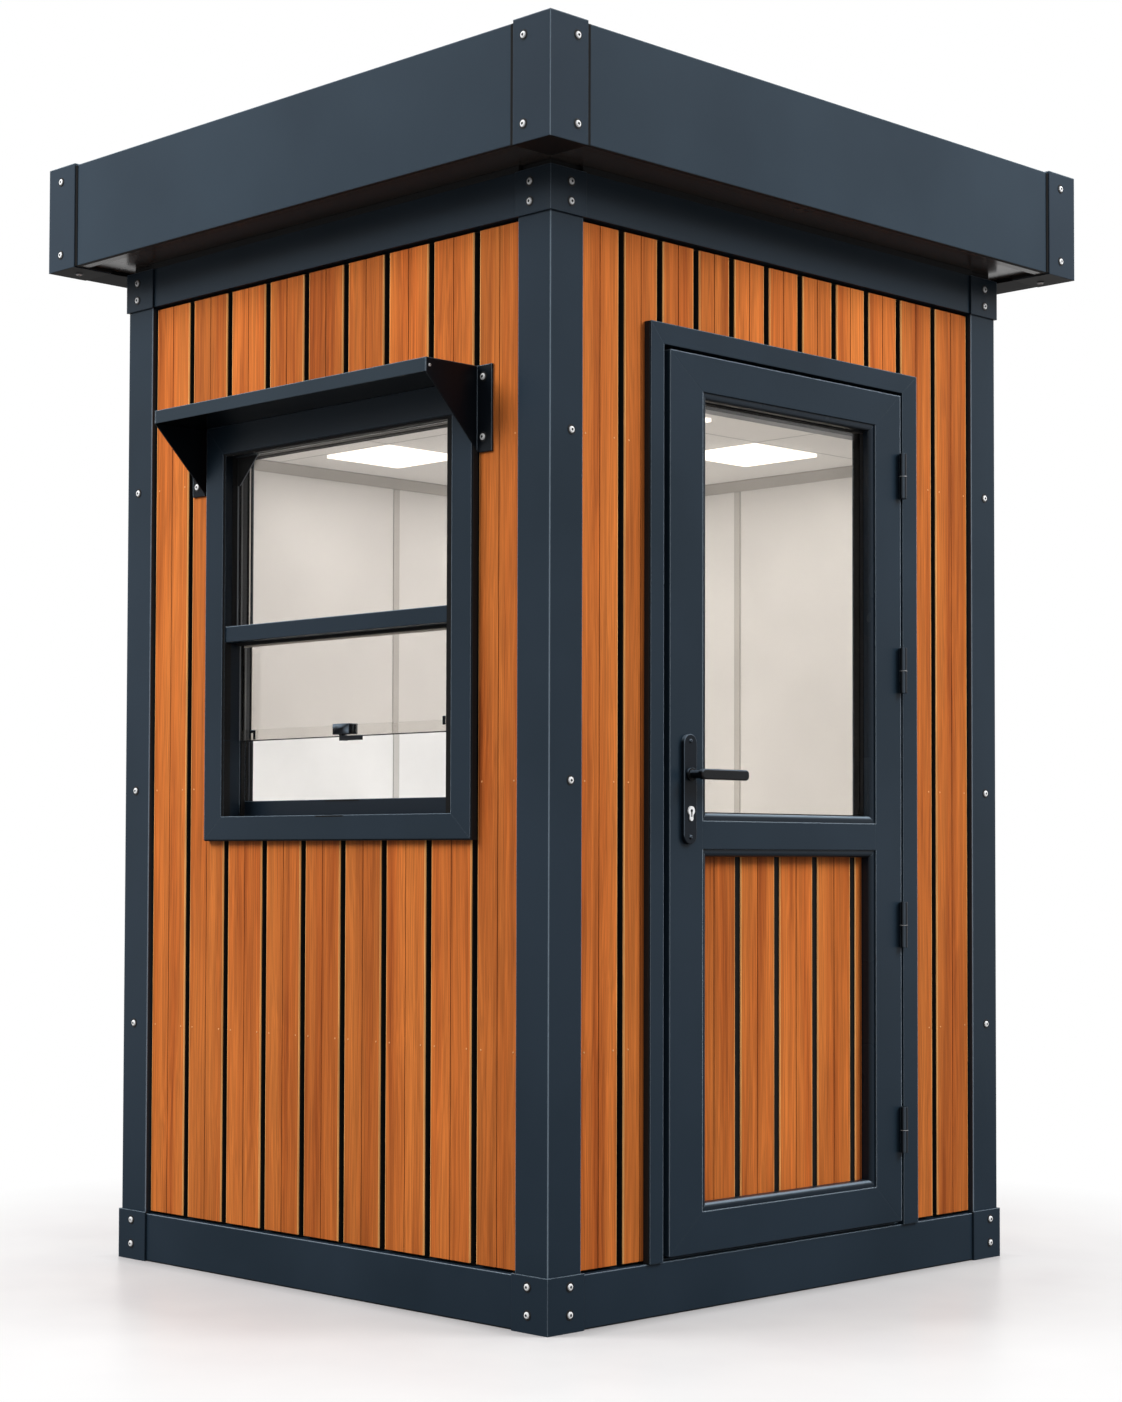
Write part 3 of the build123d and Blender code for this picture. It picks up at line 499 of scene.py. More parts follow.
def board(left, right, low, high, front, thickness, bevel):
    """One upright board in a wall's own measures, in metres, its face at the depth called front."""
    piece = block((left, front, low), (right, front + thickness, high))
    for made in (board_cedar, board_edge_cedar, gap_black, groove_brown):
        piece.data.materials.append(made)
    middle = (left + right) / 2
    highlight_band = bevel + 1.4 * mm

    def to_side(place):
        """How far a place is from the nearer side of the board."""
        return min(abs(place.x - left), abs(place.x - right))

    edit(piece)
    # Painted shade: the board's sides and back take the gap black.
    paint(2, lambda face: abs(face.normal.x) > 0.9 or face.normal.y > 0.9)
    for across in (left + highlight_band, middle - groove, middle, middle + groove, right - highlight_band):
        bpy.ops.mesh.select_all(action="SELECT")
        bpy.ops.mesh.bisect(plane_co=(across, 0, 0), plane_no=(1, 0, 0))
    pick("VERT", lambda vert: abs(vert.co.x - middle) < near and abs(vert.co.y - front) < near)
    bpy.ops.transform.translate(value=(0, 1.6 * mm, 0))
    # Painted shade: the groove's faces take the dark brown.
    paint(3, lambda face: face.normal.y < -0.2 and abs(face.calc_center_median().x - middle) < groove)
    pick("EDGE", lambda edge: all(vert.co.y < front + near and to_side(vert.co) < near for vert in edge.verts)
         and abs(edge.verts[0].co.x - edge.verts[1].co.x) < near)
    bpy.ops.mesh.bevel(offset=bevel, segments=1, affect="EDGES")
    # Painted highlight: the bevels and a thin band beside them take the paler cedar.
    paint(1, lambda face: face.normal.y < -0.3 and to_side(face.calc_center_median()) < highlight_band)
    close(piece)
    return piece


def row_of_boards(edges, low, high, front, thickness, bevel):
    """Boards between the middles of the gaps beside them, and the sides of each."""
    sides = [(left + board_gap / 2, right - board_gap / 2) for left, right in zip(edges, edges[1:])]
    return [board(left, right, low, high, front, thickness, bevel) for left, right in sides], sides


def cut_out(piece, cutter):
    """Takes the cutter's shape out of the piece."""
    modify(piece, "BOOLEAN", operation="DIFFERENCE", object=cutter)
    bpy.data.objects.remove(cutter)


nail = disc(2.1 * mm, 0.8 * mm, -0.2 * mm, 8)
nail.data.materials.append(satin_black("nail_bronze", (214, 150, 96), 0.5))
edit(nail)
pick("FACE", lambda face: face.normal.y < -0.9)
bpy.ops.mesh.inset(thickness=0.9 * mm, depth=0.3 * mm)
close(nail)
nail_inset = 14 * mm
board_face = 12 * mm
board_thickness = 20 * mm
board_gap = 18 * mm
board_end_gap = 7 * mm
cladding_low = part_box("front_cladding")[0].z + board_end_gap
cladding_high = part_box("front_cladding")[1].z - board_end_gap
window_low, window_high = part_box("window_frame")
door_low, door_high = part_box("door_frame")
board_seams = {
    "front": (-514, -362, -214, -69, 74.5, 218, 369, 518.5),
    "right": (-566.5, -443, -322.5, -201.5, -79.5, 41.5, 167, 291, 416, 556),
    "back": (-514, -367, -220, -73, 73, 220, 367, 514),
    "left": (-571, -445, -318, -190, -64, 64, 190, 318, 445, 571),
}
openings = {
    "front": (window_low.x, window_high.x, window_low.z, window_high.z),
    "right": (door_low.y, door_high.y, 0, door_high.z),
}
for wall, seams in board_seams.items():
    end = along(wall, half_width, half_depth) - post_width + board_gap / 4
    edges = [-end, *(seam * mm for seam in seams), end]
    boards, sides = row_of_boards(edges, cladding_low, cladding_high, board_face, board_thickness, 2.2 * mm)
    boards = join_as(f"{wall}_boards", boards)
    nails = [(across / mm, row) for left, right in sides for across in (left + nail_inset, right - nail_inset)
             for row in post_rows]
    if wall in openings:
        left, right, low, high = openings[wall]
        cutter = block((left, board_face - 10 * mm, low), (right, board_face + 2 * board_thickness, high))
        cut_out(boards, cutter)
        nails = [(x, z) for x, z in nails
                 if not (left - 0.05 < x * mm < right + 0.05 and low < z * mm < high + 0.05)]
    boards.data.transform(wall_place(wall))
    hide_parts(f"{wall}_cladding")
    nails = copies(f"{wall}_nails", nail, bolt_places(wall, board_face / mm, nails))
    for piece in (boards, nails):
        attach(piece, "booth")

# The room's lining: smooth coated sheets on walls and ceiling, with grey strips over their joints.
# White coated board, glued to the wall panels; the strips and the cornice are grey plastic.


def smooth_sheet(name, tone, other_tone, roughness, edge_shade_tone=None):
    """A smooth coated sheet with a faint, soft mottle, and, where asked, painted shade as a darker line at
    its edges.
    """
    made, tree, shader, place = material(name)
    mottle = noise(tree, place, 5.0, 4.0)["Fac"]
    coat = blend_colours(tree, ranged(tree, mottle, 0.35, 0.65), shade(*tone), shade(*other_tone))
    if edge_shade_tone:
        rounded = add(tree, "ShaderNodeBevel", {"Radius": 3.0 * mm}, samples=4).outputs["Normal"]
        flat = add(tree, "ShaderNodeNewGeometry").outputs["Normal"]
        turned = vector_maths(tree, "DOT_PRODUCT", rounded, flat, result="Value")
        coat = blend_colours(tree, ranged(tree, turned, 0.99, 0.8), coat, shade(*edge_shade_tone))
    set_finish(tree, shader, coat, ranged(tree, mottle, 0.3, 0.7, roughness - 0.04, roughness + 0.04), 0.35)
    bump(tree, shader, noise(tree, place, 350.0, 2.0)["Fac"], 0.08, 0.3 * mm)
    return made


lining_white = smooth_sheet("lining_white", (237, 236, 235), (243, 242, 241), 0.45)
# The strips and the cornice get painted shade as a darker line along their edges.
trim_grey = smooth_sheet("trim_grey", (198, 195, 191), (208, 205, 201), 0.4, (150, 147, 143))
cornice_grey = smooth_sheet("cornice_grey", (172, 168, 163), (182, 178, 173), 0.4, (120, 117, 113))
dress(lining_white, "wall_linings", "ceiling_panel")
dress(trim_grey, "corner_trims")
dress(cornice_grey, "cornice_trims")

# The ceiling's joints: fine grey sealed lines where its sheets meet, each way across the room.
# Grey sealant, pressed flat into the joint.


def box_in_mm(node):
    """The low and the high corner of one of the booth's nodes, in millimetres."""
    low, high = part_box(node)
    return low / mm, high / mm


ceiling = box_in_mm("ceiling_panel")[0].z
room_low, room_high = box_in_mm("cornice_trims")
joint_grey = smooth_sheet("joint_grey", (150, 146, 141), (158, 154, 149), 0.6)
half_joint = 1.4
joint_runs = [((room_low.x, y - half_joint), (room_high.x, y + half_joint)) for y in (-410, 205)]
joint_runs += [((x - half_joint, start), (x + half_joint, room_high.y))
               for x, start in ((-203, room_low.y), (470, -125))]
joints = join_as("ceiling_joints", [bar((*low, ceiling - 0.4), (*high, ceiling), joint_grey, 0.15)
                                    for low, high in joint_runs])
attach(joints, "booth")

# The ceiling lights: four flush square panels, each a bright white diffuser.
# Acrylic over LEDs in a thin tray, clipped into the ceiling.
light_white, tree, shader, place = material("light_white")
glow = blend_colours(tree, noise(tree, place, 12.0, 1.0)["Fac"], shade(255, 252, 247), shade(255, 255, 252))
set_inputs(tree, shader, {"Base Color": glow, "Emission Color": glow, "Emission Strength": 1.5,
                          "Roughness": 0.4})
dress(light_white, "ceiling_lights")

# The roof: a sealing seat on the header beams, a soffit sheet, and a ribbed deck inside the fascia.
# Coated steel sheet, screwed down; the seat is a black foam strip.
# The soffit's warm brown grey is its dark coat with the boards' warm reflection painted in.
soffit_grey_with_board_reflection = (66, 60, 56)
soffit_paint = powder_coat("soffit_paint", soffit_grey_with_board_reflection, (72, 65, 61), roughness=0.24, gloss=0.6)
# The deck's paler edge colour is a painted highlight.
deck_paint = powder_coat("deck_paint", (52, 62, 71), (62, 72, 81), (76, 87, 97), 0.48, 0.35)
dress(seal_black, "roof_seat")
dress(soffit_paint, "roof_soffit")
dress(deck_paint, "roof_deck")

# The fascia: four folded panels with a wrapped cover at each corner, their bolts, black strips that stand for
# the shadow lines at their joints, and closing strips.
# The frame's coated steel; each cover takes two bolts on each face, and three have a screw from below.
# A little lighter than the frame's coat, as painted light from above; faces turned down take the soffit's
# tone, as painted shade and reflection.
fascia_paint = powder_coat("fascia_paint", (36, 50, 62), (42, 56, 68), under=soffit_grey_with_board_reflection, under_rough=0.24)
# The covers' coat is a little lighter than the frame's, as painted light; their bends carry a bright painted
# highlight and their bottoms a near-black painted shade.
cover_paint = powder_coat("cover_paint", (34, 47, 59), (40, 53, 65), (150, 166, 180), rounding=3.4 * mm,
                          under=(22, 21, 20), under_rough=0.6, bend_only=True)
dress(fascia_paint, "fascia_panels")
dress(cover_paint, "fascia_corner_covers")
cover_bolt_face = -146
cover_rows = (2707, 2521)
cover_columns = {
    "front": (-853.5, 827.5),
    "right": (-864, 882),
    "back": (-827.5, 827.5),
    "left": (-864, 864),
}
cover_bolts = {}
for wall, columns in cover_columns.items():
    spots = [(across, row) for across in columns for row in cover_rows]
    cover_bolts[f"{wall}_fascia_bolts"] = bolt_places(wall, cover_bolt_face, spots)
downward = Matrix.Rotation(math.radians(90), 4, "X")
cover_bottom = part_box("fascia_corner_covers")[0].z
cover_bolts["cover_screws"] = [Matrix.Translation((x * mm, y * mm, cover_bottom)) @ downward
                               for x, y in ((-853, -889), (833, 900), (-840, 895))]
for name, places in cover_bolts.items():
    bolts = copies(name, frame_bolt, places)
    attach(bolts, "booth")

fascia_low, fascia_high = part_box("fascia_panels")
fascia_bottom, fascia_top = fascia_low.z / mm, fascia_high.z / mm
soffit_face = box_in_mm("roof_soffit")[0].z
roof_half_width, roof_half_depth = 907, 944
cover_width = 112
cover_step = 4
fascia_lip = 36
header_inset = 130
outer_joint, inner_joint = 9, 5


def overhang(wall):
    """Half the run between the covers, the depth of the fascia's face, and the depth where the covers end."""
    face = along(wall, half_depth - fascia_high.y, half_width - fascia_high.x) / mm
    half_run = along(wall, roof_half_width, roof_half_depth) - cover_width
    return half_run, face, face - cover_step + cover_width


# Black strips beside the covers, under the lip, at the soffit's edge and over the header stand in for shadow
# lines: painted shade.
joint_shadow_strips = []
for wall in wall_turns:
    half_run, face, cover_back = overhang(wall)
    lip_back = face + fascia_lip
    rows = [
        ((-half_run, lip_back - 0.5, soffit_face - 3), (half_run, lip_back + 5, soffit_face), 1),
        ((-half_run, face, fascia_bottom - 0.8), (half_run, face + 12, fascia_bottom), 0.3),
        ((header_inset - half_run, -2, soffit_face - 14), (half_run - header_inset, 8, soffit_face), 1),
    ]
    for side in (-1, 1):
        left, right = sorted((side * half_run, side * (half_run - outer_joint)))
        rows.append(((left, face - 1.6, fascia_bottom), (right, face, fascia_top - 1), 0.5))
        left, right = sorted((side * half_run, side * (half_run - inner_joint)))
        rows.append(((left, face + 2, fascia_bottom - 1), (right, cover_back, soffit_face), 0.8))
    joint_shadow_strips += [bar(low, high, seal_black, rounding, wall) for low, high, rounding in rows]
joint_shadow_strips = join_as("fascia_sealant", joint_shadow_strips)
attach(joint_shadow_strips, "booth")
# Its paler edge colour is a painted highlight.
closing_dark = powder_coat("closing_dark", (20, 20, 20), (24, 24, 24), (40, 40, 40), 0.6, 0.1)
closing = []
for wall in ("left", "back"):
    half_run, face, cover_back = overhang(wall)
    closing.append(bar((-half_run, face + 0.5, cover_bottom / mm), (half_run, cover_back, soffit_face),
                       closing_dark, 0.8, wall))
closing = join_as("overhang_closing_strips", closing)
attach(closing, "booth")

# The serving window's frame: a mitred casing, the liner with its tracks, and a cross rail.
# Coated aluminium sections, screwed to the wall's opening; the sill has drain slots.
fine_painted_highlight_rim = (120, 136, 150)
# Both carry the painted edge highlight; the liner's coat is darker, as painted shade inside the reveal.
window_paint = powder_coat("window_paint", (27, 40, 51), (32, 45, 57), roughness=0.36)
liner_paint = powder_coat("liner_paint", (19, 28, 37), (23, 33, 43), fine_painted_highlight_rim, 0.36, 0.14)
dress(window_paint, "window_casing", "window_transom")
dress(liner_paint, "window_frame")


def slot_cover(wall, across, up, length, height, back, made, thickness=0.4):
    """A small flat piece with rounded ends on a wall, its back at the depth given, in millimetres."""
    low = (across - length / 2, back - thickness, up - height / 2)
    piece = mm_block(low, (across + length / 2, back, up + height / 2))
    edit(piece)
    pick("EDGE", lambda edge: abs(edge.verts[0].co.y - edge.verts[1].co.y) > 0.5 * thickness * mm)
    bpy.ops.mesh.bevel(offset=0.49 * min(length, height) * mm, segments=4, affect="EDGES")
    close(piece)
    piece.data.materials.append(made)
    piece.data.transform(wall_place(wall))
    return piece


low, high = box_in_mm("window_casing")
# Black strips beside and under the casing: painted shadow that the casing casts on the boards.
casing_joint_shadow = join_as("window_casing_joint", [bar(*corners, seal_black, 0.8, "front") for corners in (
    ((low.x - 3, -3, low.z - 3), (low.x, 12, high.z - 1)),
    ((high.x, -3, low.z - 3), (high.x + 3, 12, high.z - 1)),
    ((low.x, -3, low.z - 3), (high.x, 12, low.z)),
)])
drain = join_as("window_drain_slots", [
    slot_cover("front", 12, 1134.2, 122, 3.6, 62, gap_black),
    slot_cover("front", 46, 1096.6, 99, 3.2, -6, gap_black),
])
for piece in (casing_joint_shadow, drain):
    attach(piece, "booth")

# The window's seals and rails: rubber and brush strips and grey rails, down both jambs and along the head.
# Pressed into the liner on each side of the two panes; white glazing tape closes each pane against the room.
glass_low, glass_high = box_in_mm("upper_window_glass")
pane_left, pane_right, pane_high = glass_low.x, glass_high.x, glass_high.z
transom_low, transom_high = (corner.z for corner in box_in_mm("window_transom"))
sash_low = box_in_mm("sliding_window_glass")[0].z
sill_step, sill_back = 1101, 1139
lip_left, lip_right, lip_low, lip_high = -360, 460, 1100, 1976
pile_black = satin_black("pile_black", (8, 8, 9), 0.9)
rail_pale = smooth_sheet("rail_pale", (112, 117, 124), (118, 123, 130), 0.35)
rail_grey = smooth_sheet("rail_grey", (62, 66, 72), (68, 72, 78), 0.35)
# The pale bands stand partly for rails and partly for painted highlights on bead and glass edges.
jamb_bands = (
    (transom_high, pane_high, (
        (18, 33, pile_black), (33.4, 37.4, rail_pale), (44.4, 48.2, pile_black), (48.4, 53, rail_pale),
        (53.2, 66, rail_grey), (66.2, 73, pile_black), (73.2, 77, lining_white),
    )),
    (sash_low, transom_low - 1, (
        (-2.6, 16, pile_black), (43.6, 46, rail_pale), (46.2, 50.6, pile_black), (57.4, 62, pile_black),
        (62.4, 67, rail_pale), (67.2, 77, rail_grey), (77.2, 83, pile_black), (83.4, 87, lining_white),
    )),
    (sill_step, sash_low - 2, ((-2.6, 16, pile_black), (49, 61, pile_black))),
    (sill_back, sash_low - 2, ((63, 71, pile_black), (73, 75.4, rail_grey), (77, 84, pile_black))),
)
head_bands = ((-2.6, 8, pile_black), (24, 37.4, rail_grey), (44.4, 52, rail_grey), (53, 69, pile_black),
              (71, 75, rail_grey), (77, 86, pile_black))
rows = []
for low, high, bands in jamb_bands:
    for near_side, far_side, finish in bands:
        rows.append(((pane_left, near_side, low), (pane_left + 1.4, far_side, high), finish, 0.4))
        rows.append(((pane_right - 1.4, near_side, low), (pane_right, far_side, high), finish, 0.4))
for near_side, far_side, finish in head_bands:
    corners = (pane_left + 2, near_side, pane_high - 1.4), (pane_right - 2, far_side, pane_high)
    rows.append((*corners, finish, 0.4))
rows += [
    ((lip_left, -3.4, lip_low), (pane_left, -3, lip_high), pile_black, 0.1),
    ((pane_right, -3.4, lip_low), (lip_right, -3, lip_high), pile_black, 0.1),
    ((pane_left, -3.4, pane_high), (pane_right, -3, lip_high), pile_black, 0.1),
    ((pane_left + 2, 30, transom_low - 7), (pane_right - 2, 43, transom_low), pile_black, 0.8),
    ((pane_left + 2, 58, transom_low - 10), (pane_right - 2, 61, transom_low), lining_white, 0.5),
    ((pane_left + 2, 44.3, transom_high), (pane_right - 2, 47, transom_high + 4), lining_white, 0.5),
]
strips = join_as("window_seals", [bar(*row, "front") for row in rows])
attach(strips, "booth")

# The window's glass: a fixed upper pane and a lower pane that slides up, held by a latch.
# Clear float glass with a faint warm tint, in black rubber; the latch is black.


def pane_glass(name, tint, shadow_tint):
    """Float glass that lets lamp light through to the room behind it."""
    made, tree, shader, place = material(name)
    rough = ranged(tree, noise(tree, place, 9.0, 3.0)["Fac"], 0.4, 0.8, 0.0, 0.015)
    set_inputs(tree, shader, {"Roughness": rough, "Base Color": tint, "Transmission Weight": 1.0, "IOR": 1.5})
    clear = add(tree, "ShaderNodeBsdfTransparent", {"Color": shadow_tint}).outputs["BSDF"]
    shadow = add(tree, "ShaderNodeLightPath").outputs["Is Shadow Ray"]
    mix = add(tree, "ShaderNodeMixShader", {0: shadow, 1: shader.outputs["BSDF"], 2: clear})
    tree.links.new(mix.outputs["Shader"], tree.nodes["Material Output"].inputs["Surface"])
    return made


window_glass = pane_glass("window_glass", (0.80, 0.755, 0.71, 1.0), (0.88, 0.86, 0.83, 1.0))
dress(window_glass, "upper_window_glass", "sliding_window_glass")
edge_clear = pane_glass("edge_clear", (0.90, 0.89, 0.87, 1.0), (0.9, 0.9, 0.9, 1.0))
# Its paler edge colour is a painted highlight on upward edges.
hardware_black = powder_coat("hardware_black", (13, 18, 24), (18, 24, 31), (104, 118, 132), 0.26, 0.2,
                             1.4 * mm, rim_from=0.0)
sash_front = 51
sash_left, sash_right = pane_left + 3, pane_right - 3
strip = bar((sash_left, sash_front - 1.6, sash_low + 0.5), (sash_right, sash_front - 0.1, sash_low + 25),
            edge_clear, 0.5, "front")
strip.name = "sash_edge_strip"
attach(strip, "booth")
edge = bar((sash_left, sash_front, sash_low - 2.2), (sash_right, sash_front + 6, sash_low),
           pile_black, 0.5, "front")
edge.name = "sash_lower_seal"
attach(edge, "booth")


def own_copy(node, name):
    """A copy of one of the booth's nodes with its own mesh, to stand for it."""
    copy = frame["nodes"][node].copy()
    copy.data = frame["nodes"][node].data.copy()
    copy.parent = None
    copy.name = name
    bpy.context.scene.collection.objects.link(copy)
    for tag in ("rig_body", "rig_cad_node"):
        del copy[tag]
    return copy


def edit_whole_faces(piece):
    """Opens the piece for editing and makes the triangles of each flat side one face."""
    edit(piece)
    bpy.ops.mesh.select_all(action="SELECT")
    bpy.ops.mesh.remove_doubles(threshold=0.02 * mm)
    bpy.ops.mesh.dissolve_limited(angle_limit=math.radians(2))


# Painted reflection of the awning plate in the glass: a black triangle with a pale sloped edge in the pane's
# upper corner.
painted_reflection_low = pane_high - 70
painted_reflection = mm_block((pane_left, 33.5, painted_reflection_low), (pane_left + 112, 36.5, pane_high))
painted_reflection.name = "pane_corner_gusset"
painted_reflection.data.materials.append(pile_black)
painted_reflection.data.materials.append(rail_pale)
edit(painted_reflection)
bpy.ops.mesh.select_all(action="SELECT")
bpy.ops.mesh.bisect(plane_co=((pane_left + 8) * mm, 0, painted_reflection_low * mm), plane_no=(70, 0, -104),
                    use_fill=True, clear_outer=True)
paint(1, lambda face: face.normal.x > 0.2 and face.normal.z < -0.2)
close(painted_reflection)
painted_reflection.data.transform(wall_place("front"))
latch = own_copy("window_latch", "latch")
edit_whole_faces(latch)
close(latch)
modify(latch, "BEVEL", width=2.2 * mm, segments=3, limit_method="ANGLE", angle_limit=math.radians(35),
       use_clamp_overlap=True)
smooth(latch, 40)
recoat(latch, hardware_black)
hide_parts("window_latch")
clip_boxes = ((-306, -298, 1, 24), (-318, -306, 17, 24), (373, 382, 14, 34))
clips = join_as("sash_clips", [
    bar((left, sash_front - 3.2, sash_low + low), (right, sash_front - 0.1, sash_low + high),
        hardware_black, 1.0, "front")
    for left, right, low, high in clip_boxes
])
for piece in (painted_reflection, latch, clips):
    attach(piece, "booth")

# The awning over the serving window: one folded sheet with a lip, on two triangular side plates.
# Coated steel; the plates' flanges are bolted to the wall.
# Its underside is painted near black as shade.
awning_paint = powder_coat("awning_paint", (36, 48, 58), (42, 54, 64), under=(10, 13, 16))
# The plates' coat is darker than the frame's, as painted shade.
bracket_paint = powder_coat("bracket_paint", (13, 18, 24), (17, 23, 30), roughness=0.36, gloss=0.12)
dress(awning_paint, "awning_sheet")
dress(bracket_paint, "awning_brackets")
flange_face = 7
spots = [(546, 2051), (546, 1919), (-480, 2051), (-480, 1910)]
bolts = copies("awning_bolts", frame_bolt, bolt_places("front", flange_face, spots))
plate_thickness = 3 * mm
rivet_along, rivet_height = -0.932, 2.060
awning_low, awning_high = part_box("awning_sheet")
rivet = button_bolt(3.4 * mm, 1.8 * mm, 4.2 * mm)
rivets = copies("awning_rivets", rivet, [
    Matrix.Translation((across, rivet_along, rivet_height)) @ Matrix.Rotation(math.radians(turn), 4, "Z")
    for across, turn in ((awning_high.x + plate_thickness, 90), (awning_low.x - plate_thickness, -90))
])
for piece in (bolts, rivets):
    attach(piece, "booth")
bpy.data.objects.remove(rivet)

# The door's surround: a mitred casing, a deep frame in the wall, and the stops that the leaf meets.
# Coated aluminium, screwed through the jambs.
dress(frame_paint, "door_casing", "door_frame", "door_stops")
low, high = box_in_mm("door_casing")
casing_foot, jamb_foot, jamb_head = 117.5, 118, 2139
# The first two rows, black strips beside the casing, are painted shadow that the casing casts on the boards.
door_seals_and_shadow_strips = join_as("door_frame_seals", [bar(*row, "right") for row in (
    ((low.y - 3, -3, casing_foot), (low.y, 12, high.z - 1), seal_black, 0.8),
    ((high.y, -3, casing_foot), (high.y + 3, 12, high.z - 1), seal_black, 0.8),
    ((-448.6, 7, jamb_foot), (-440.2, 11.9, jamb_head), pile_black, 1.2),
    ((-441.5, 13, jamb_foot), (-440, 60, jamb_head), pile_black, 0.4),
    ((406, 13, jamb_foot), (407.4, 60, jamb_head), pile_black, 0.4),
)])
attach(door_seals_and_shadow_strips, "booth")

# The hinges: four lift-off hinges, a half on the frame and a half on the leaf.
# Black coated steel with a pin and washer.
# Its paler edge colour is a painted highlight.
hinge_black = powder_coat("hinge_black", (9, 12, 16), (13, 17, 22), (84, 96, 108), 0.3, 0.2, 1.6 * mm,
                          rim_from=-0.2)
dress(hinge_black, "hinge_frame_halves", "hinge_leaf_halves")
hinge_x, hinge_y = frame["record"]["behaviour"]["joints"][0]["pos_m"][:2]
hinge_rows = (345.3, 839.7, 1456.6, 1931.6)
hinge_washer = button_bolt(9.9 * mm, 1.2 * mm, 9.9 * mm)
hinge_washer.data.transform(Matrix.Rotation(math.radians(-90), 4, "X"))
washers = copies("hinge_washers", hinge_washer, [
    Matrix.Translation((hinge_x, hinge_y, row * mm)) for row in hinge_rows
])
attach(washers, "booth")
bpy.data.objects.remove(hinge_washer)

# The door leaf: a mitred frame with a cross rail, and beads that hold the glass and the panel.
# Coated aluminium sections, welded at the mitres.
# Its bright edge colour is a painted highlight on upward edges.
leaf_paint = powder_coat("leaf_paint", deep_blue_grey, pale_blue_grey, (160, 175, 188), rounding=4.2 * mm)
dress(leaf_paint, "door_leaf_frame")
# Darker than the frame's coat as painted shade, with a painted highlight on upward edges and near-black
# painted shade on faces turned down.
bead_paint = powder_coat("bead_paint", (20, 30, 40), (25, 36, 46), fine_painted_highlight_rim, 0.28, 0.2, 1.4 * mm,
                         under=(10, 14, 18), under_rough=0.34, under_from=-0.1, rim_from=0.05)
bead_sides = bead_left, bead_right = -305, 282
bead_rows = (234, 1005, 1103, 2033)
beads = own_copy("door_beads", "rounded_door_beads")
beads.data.transform(wall_place("right").inverted())
edit_whole_faces(beads)
bead_faces = sorted({round(vert.co.y, 4) for vert in bmesh.from_edit_mesh(beads.data).verts})


def beside_opening(edge):
    """An edge of the beads' outer or inner face that runs round one of the leaf's two openings."""
    first, second = (vert.co for vert in edge.verts)
    on_face = min(abs(first.y - face) for face in (bead_faces[0], bead_faces[-1])) < 0.2 * mm
    if not on_face or abs(first.y - second.y) > 0.2 * mm:
        return False
    return (any(max(abs(first.x - side * mm), abs(second.x - side * mm)) < mm for side in bead_sides)
            or any(max(abs(first.z - row * mm), abs(second.z - row * mm)) < mm for row in bead_rows))


pick("EDGE", beside_opening)
bpy.ops.mesh.bevel(offset=9 * mm, segments=5, affect="EDGES")
close(beads)
smooth(beads, 30)
beads.data.transform(wall_place("right"))
recoat(beads, bead_paint)
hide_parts("door_beads")
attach(beads, "door")

# The door's glass: one fixed pane in the upper part of the leaf, between black gaskets.
# Float glass with the window's warm tint; the gaskets are rubber.
door_glass_tint = pane_glass("door_glass_tint", (0.84, 0.79, 0.73, 1.0), (0.88, 0.86, 0.83, 1.0))
dress(door_glass_tint, "door_glass")
glass_foot, glass_head = bead_rows[2:]
gaskets = []
for near_side, far_side, width in ((16, 23.9, 2.6), (29.8, 34.0, 2.6), (34.2, 48, 0.6)):
    gasket = mm_block((bead_left, near_side, glass_foot), (bead_right, far_side, glass_head))
    cut_out(gasket, mm_block((bead_left + width, near_side - 5, glass_foot + width),
                             (bead_right - width, far_side + 5, glass_head - width)))
    gasket.data.materials.append(pile_black)
    gasket.data.transform(wall_place("right"))
    gaskets.append(gasket)
gaskets = join_as("door_glass_gaskets", gaskets)
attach(gaskets, "door")

# The door's lower panel: short upright boards on a backing sheet, inside the beads.
# The same cedar as the walls outside; white lining sheet inside.
panel_low, panel_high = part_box("door_lower_panel")
panel_face = half_width - panel_high.x
panel_seams = (-167, -29.5, 108, 249)
seams = [seam * mm for seam in panel_seams]
panel_edges = [panel_low.y - board_gap / 2, *seams, panel_high.y + board_gap / 2]
door_boards, _ = row_of_boards(panel_edges, panel_low.z, panel_high.z, panel_face, 3.9 * mm, 1.8 * mm)
door_boards = join_as("door_boards", door_boards)
door_boards.data.transform(wall_place("right"))
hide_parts("door_lower_panel")
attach(door_boards, "door")
backing_front, backing_back = panel_face + 3.95 * mm, panel_face + 5.6 * mm
backing = block((panel_low.y, backing_front, panel_low.z), (panel_high.y, backing_back, panel_high.z))
backing.name = "door_panel_backing"
backing.data.materials.append(gap_black)
backing.data.materials.append(lining_white)
edit(backing)
paint(1, lambda face: face.normal.y > 0.9)
bpy.ops.mesh.inset(thickness=9 * mm, depth=0)
close(backing)
backing.data.transform(wall_place("right"))
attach(backing, "door")

# The lock: a long plate with a lever on each face, and a key cylinder through the leaf.
# Black coated plates and levers; the cylinder is bright nickel.
# Both paler edge colours are painted highlights; on the lever they light its top.
plate_black = powder_coat("plate_black", (15, 22, 30), (19, 27, 36), (112, 126, 140), 0.3, 0.16, 1.6 * mm,
                          rim_from=-0.2)
lever_black = powder_coat("lever_black", (8, 11, 15), (11, 15, 20), (96, 110, 124), 0.2, 0.3, 2.4 * mm,
                          rim_from=0.1)
dress(plate_black, "lock_plates")
dress(lever_black, "door_levers")
dress(bolt_steel, "lock_cylinder")
lock_across = -373.5
screw_rows = (1262, 1048.5)
plate_low, plate_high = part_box("lock_plates")
plate_face = (half_width - plate_high.x) / mm
cylinder_face = (half_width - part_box("lock_cylinder")[1].x) / mm
lock_middle = Vector(((plate_low.x + plate_high.x) / 2, lock_across * mm, 0))
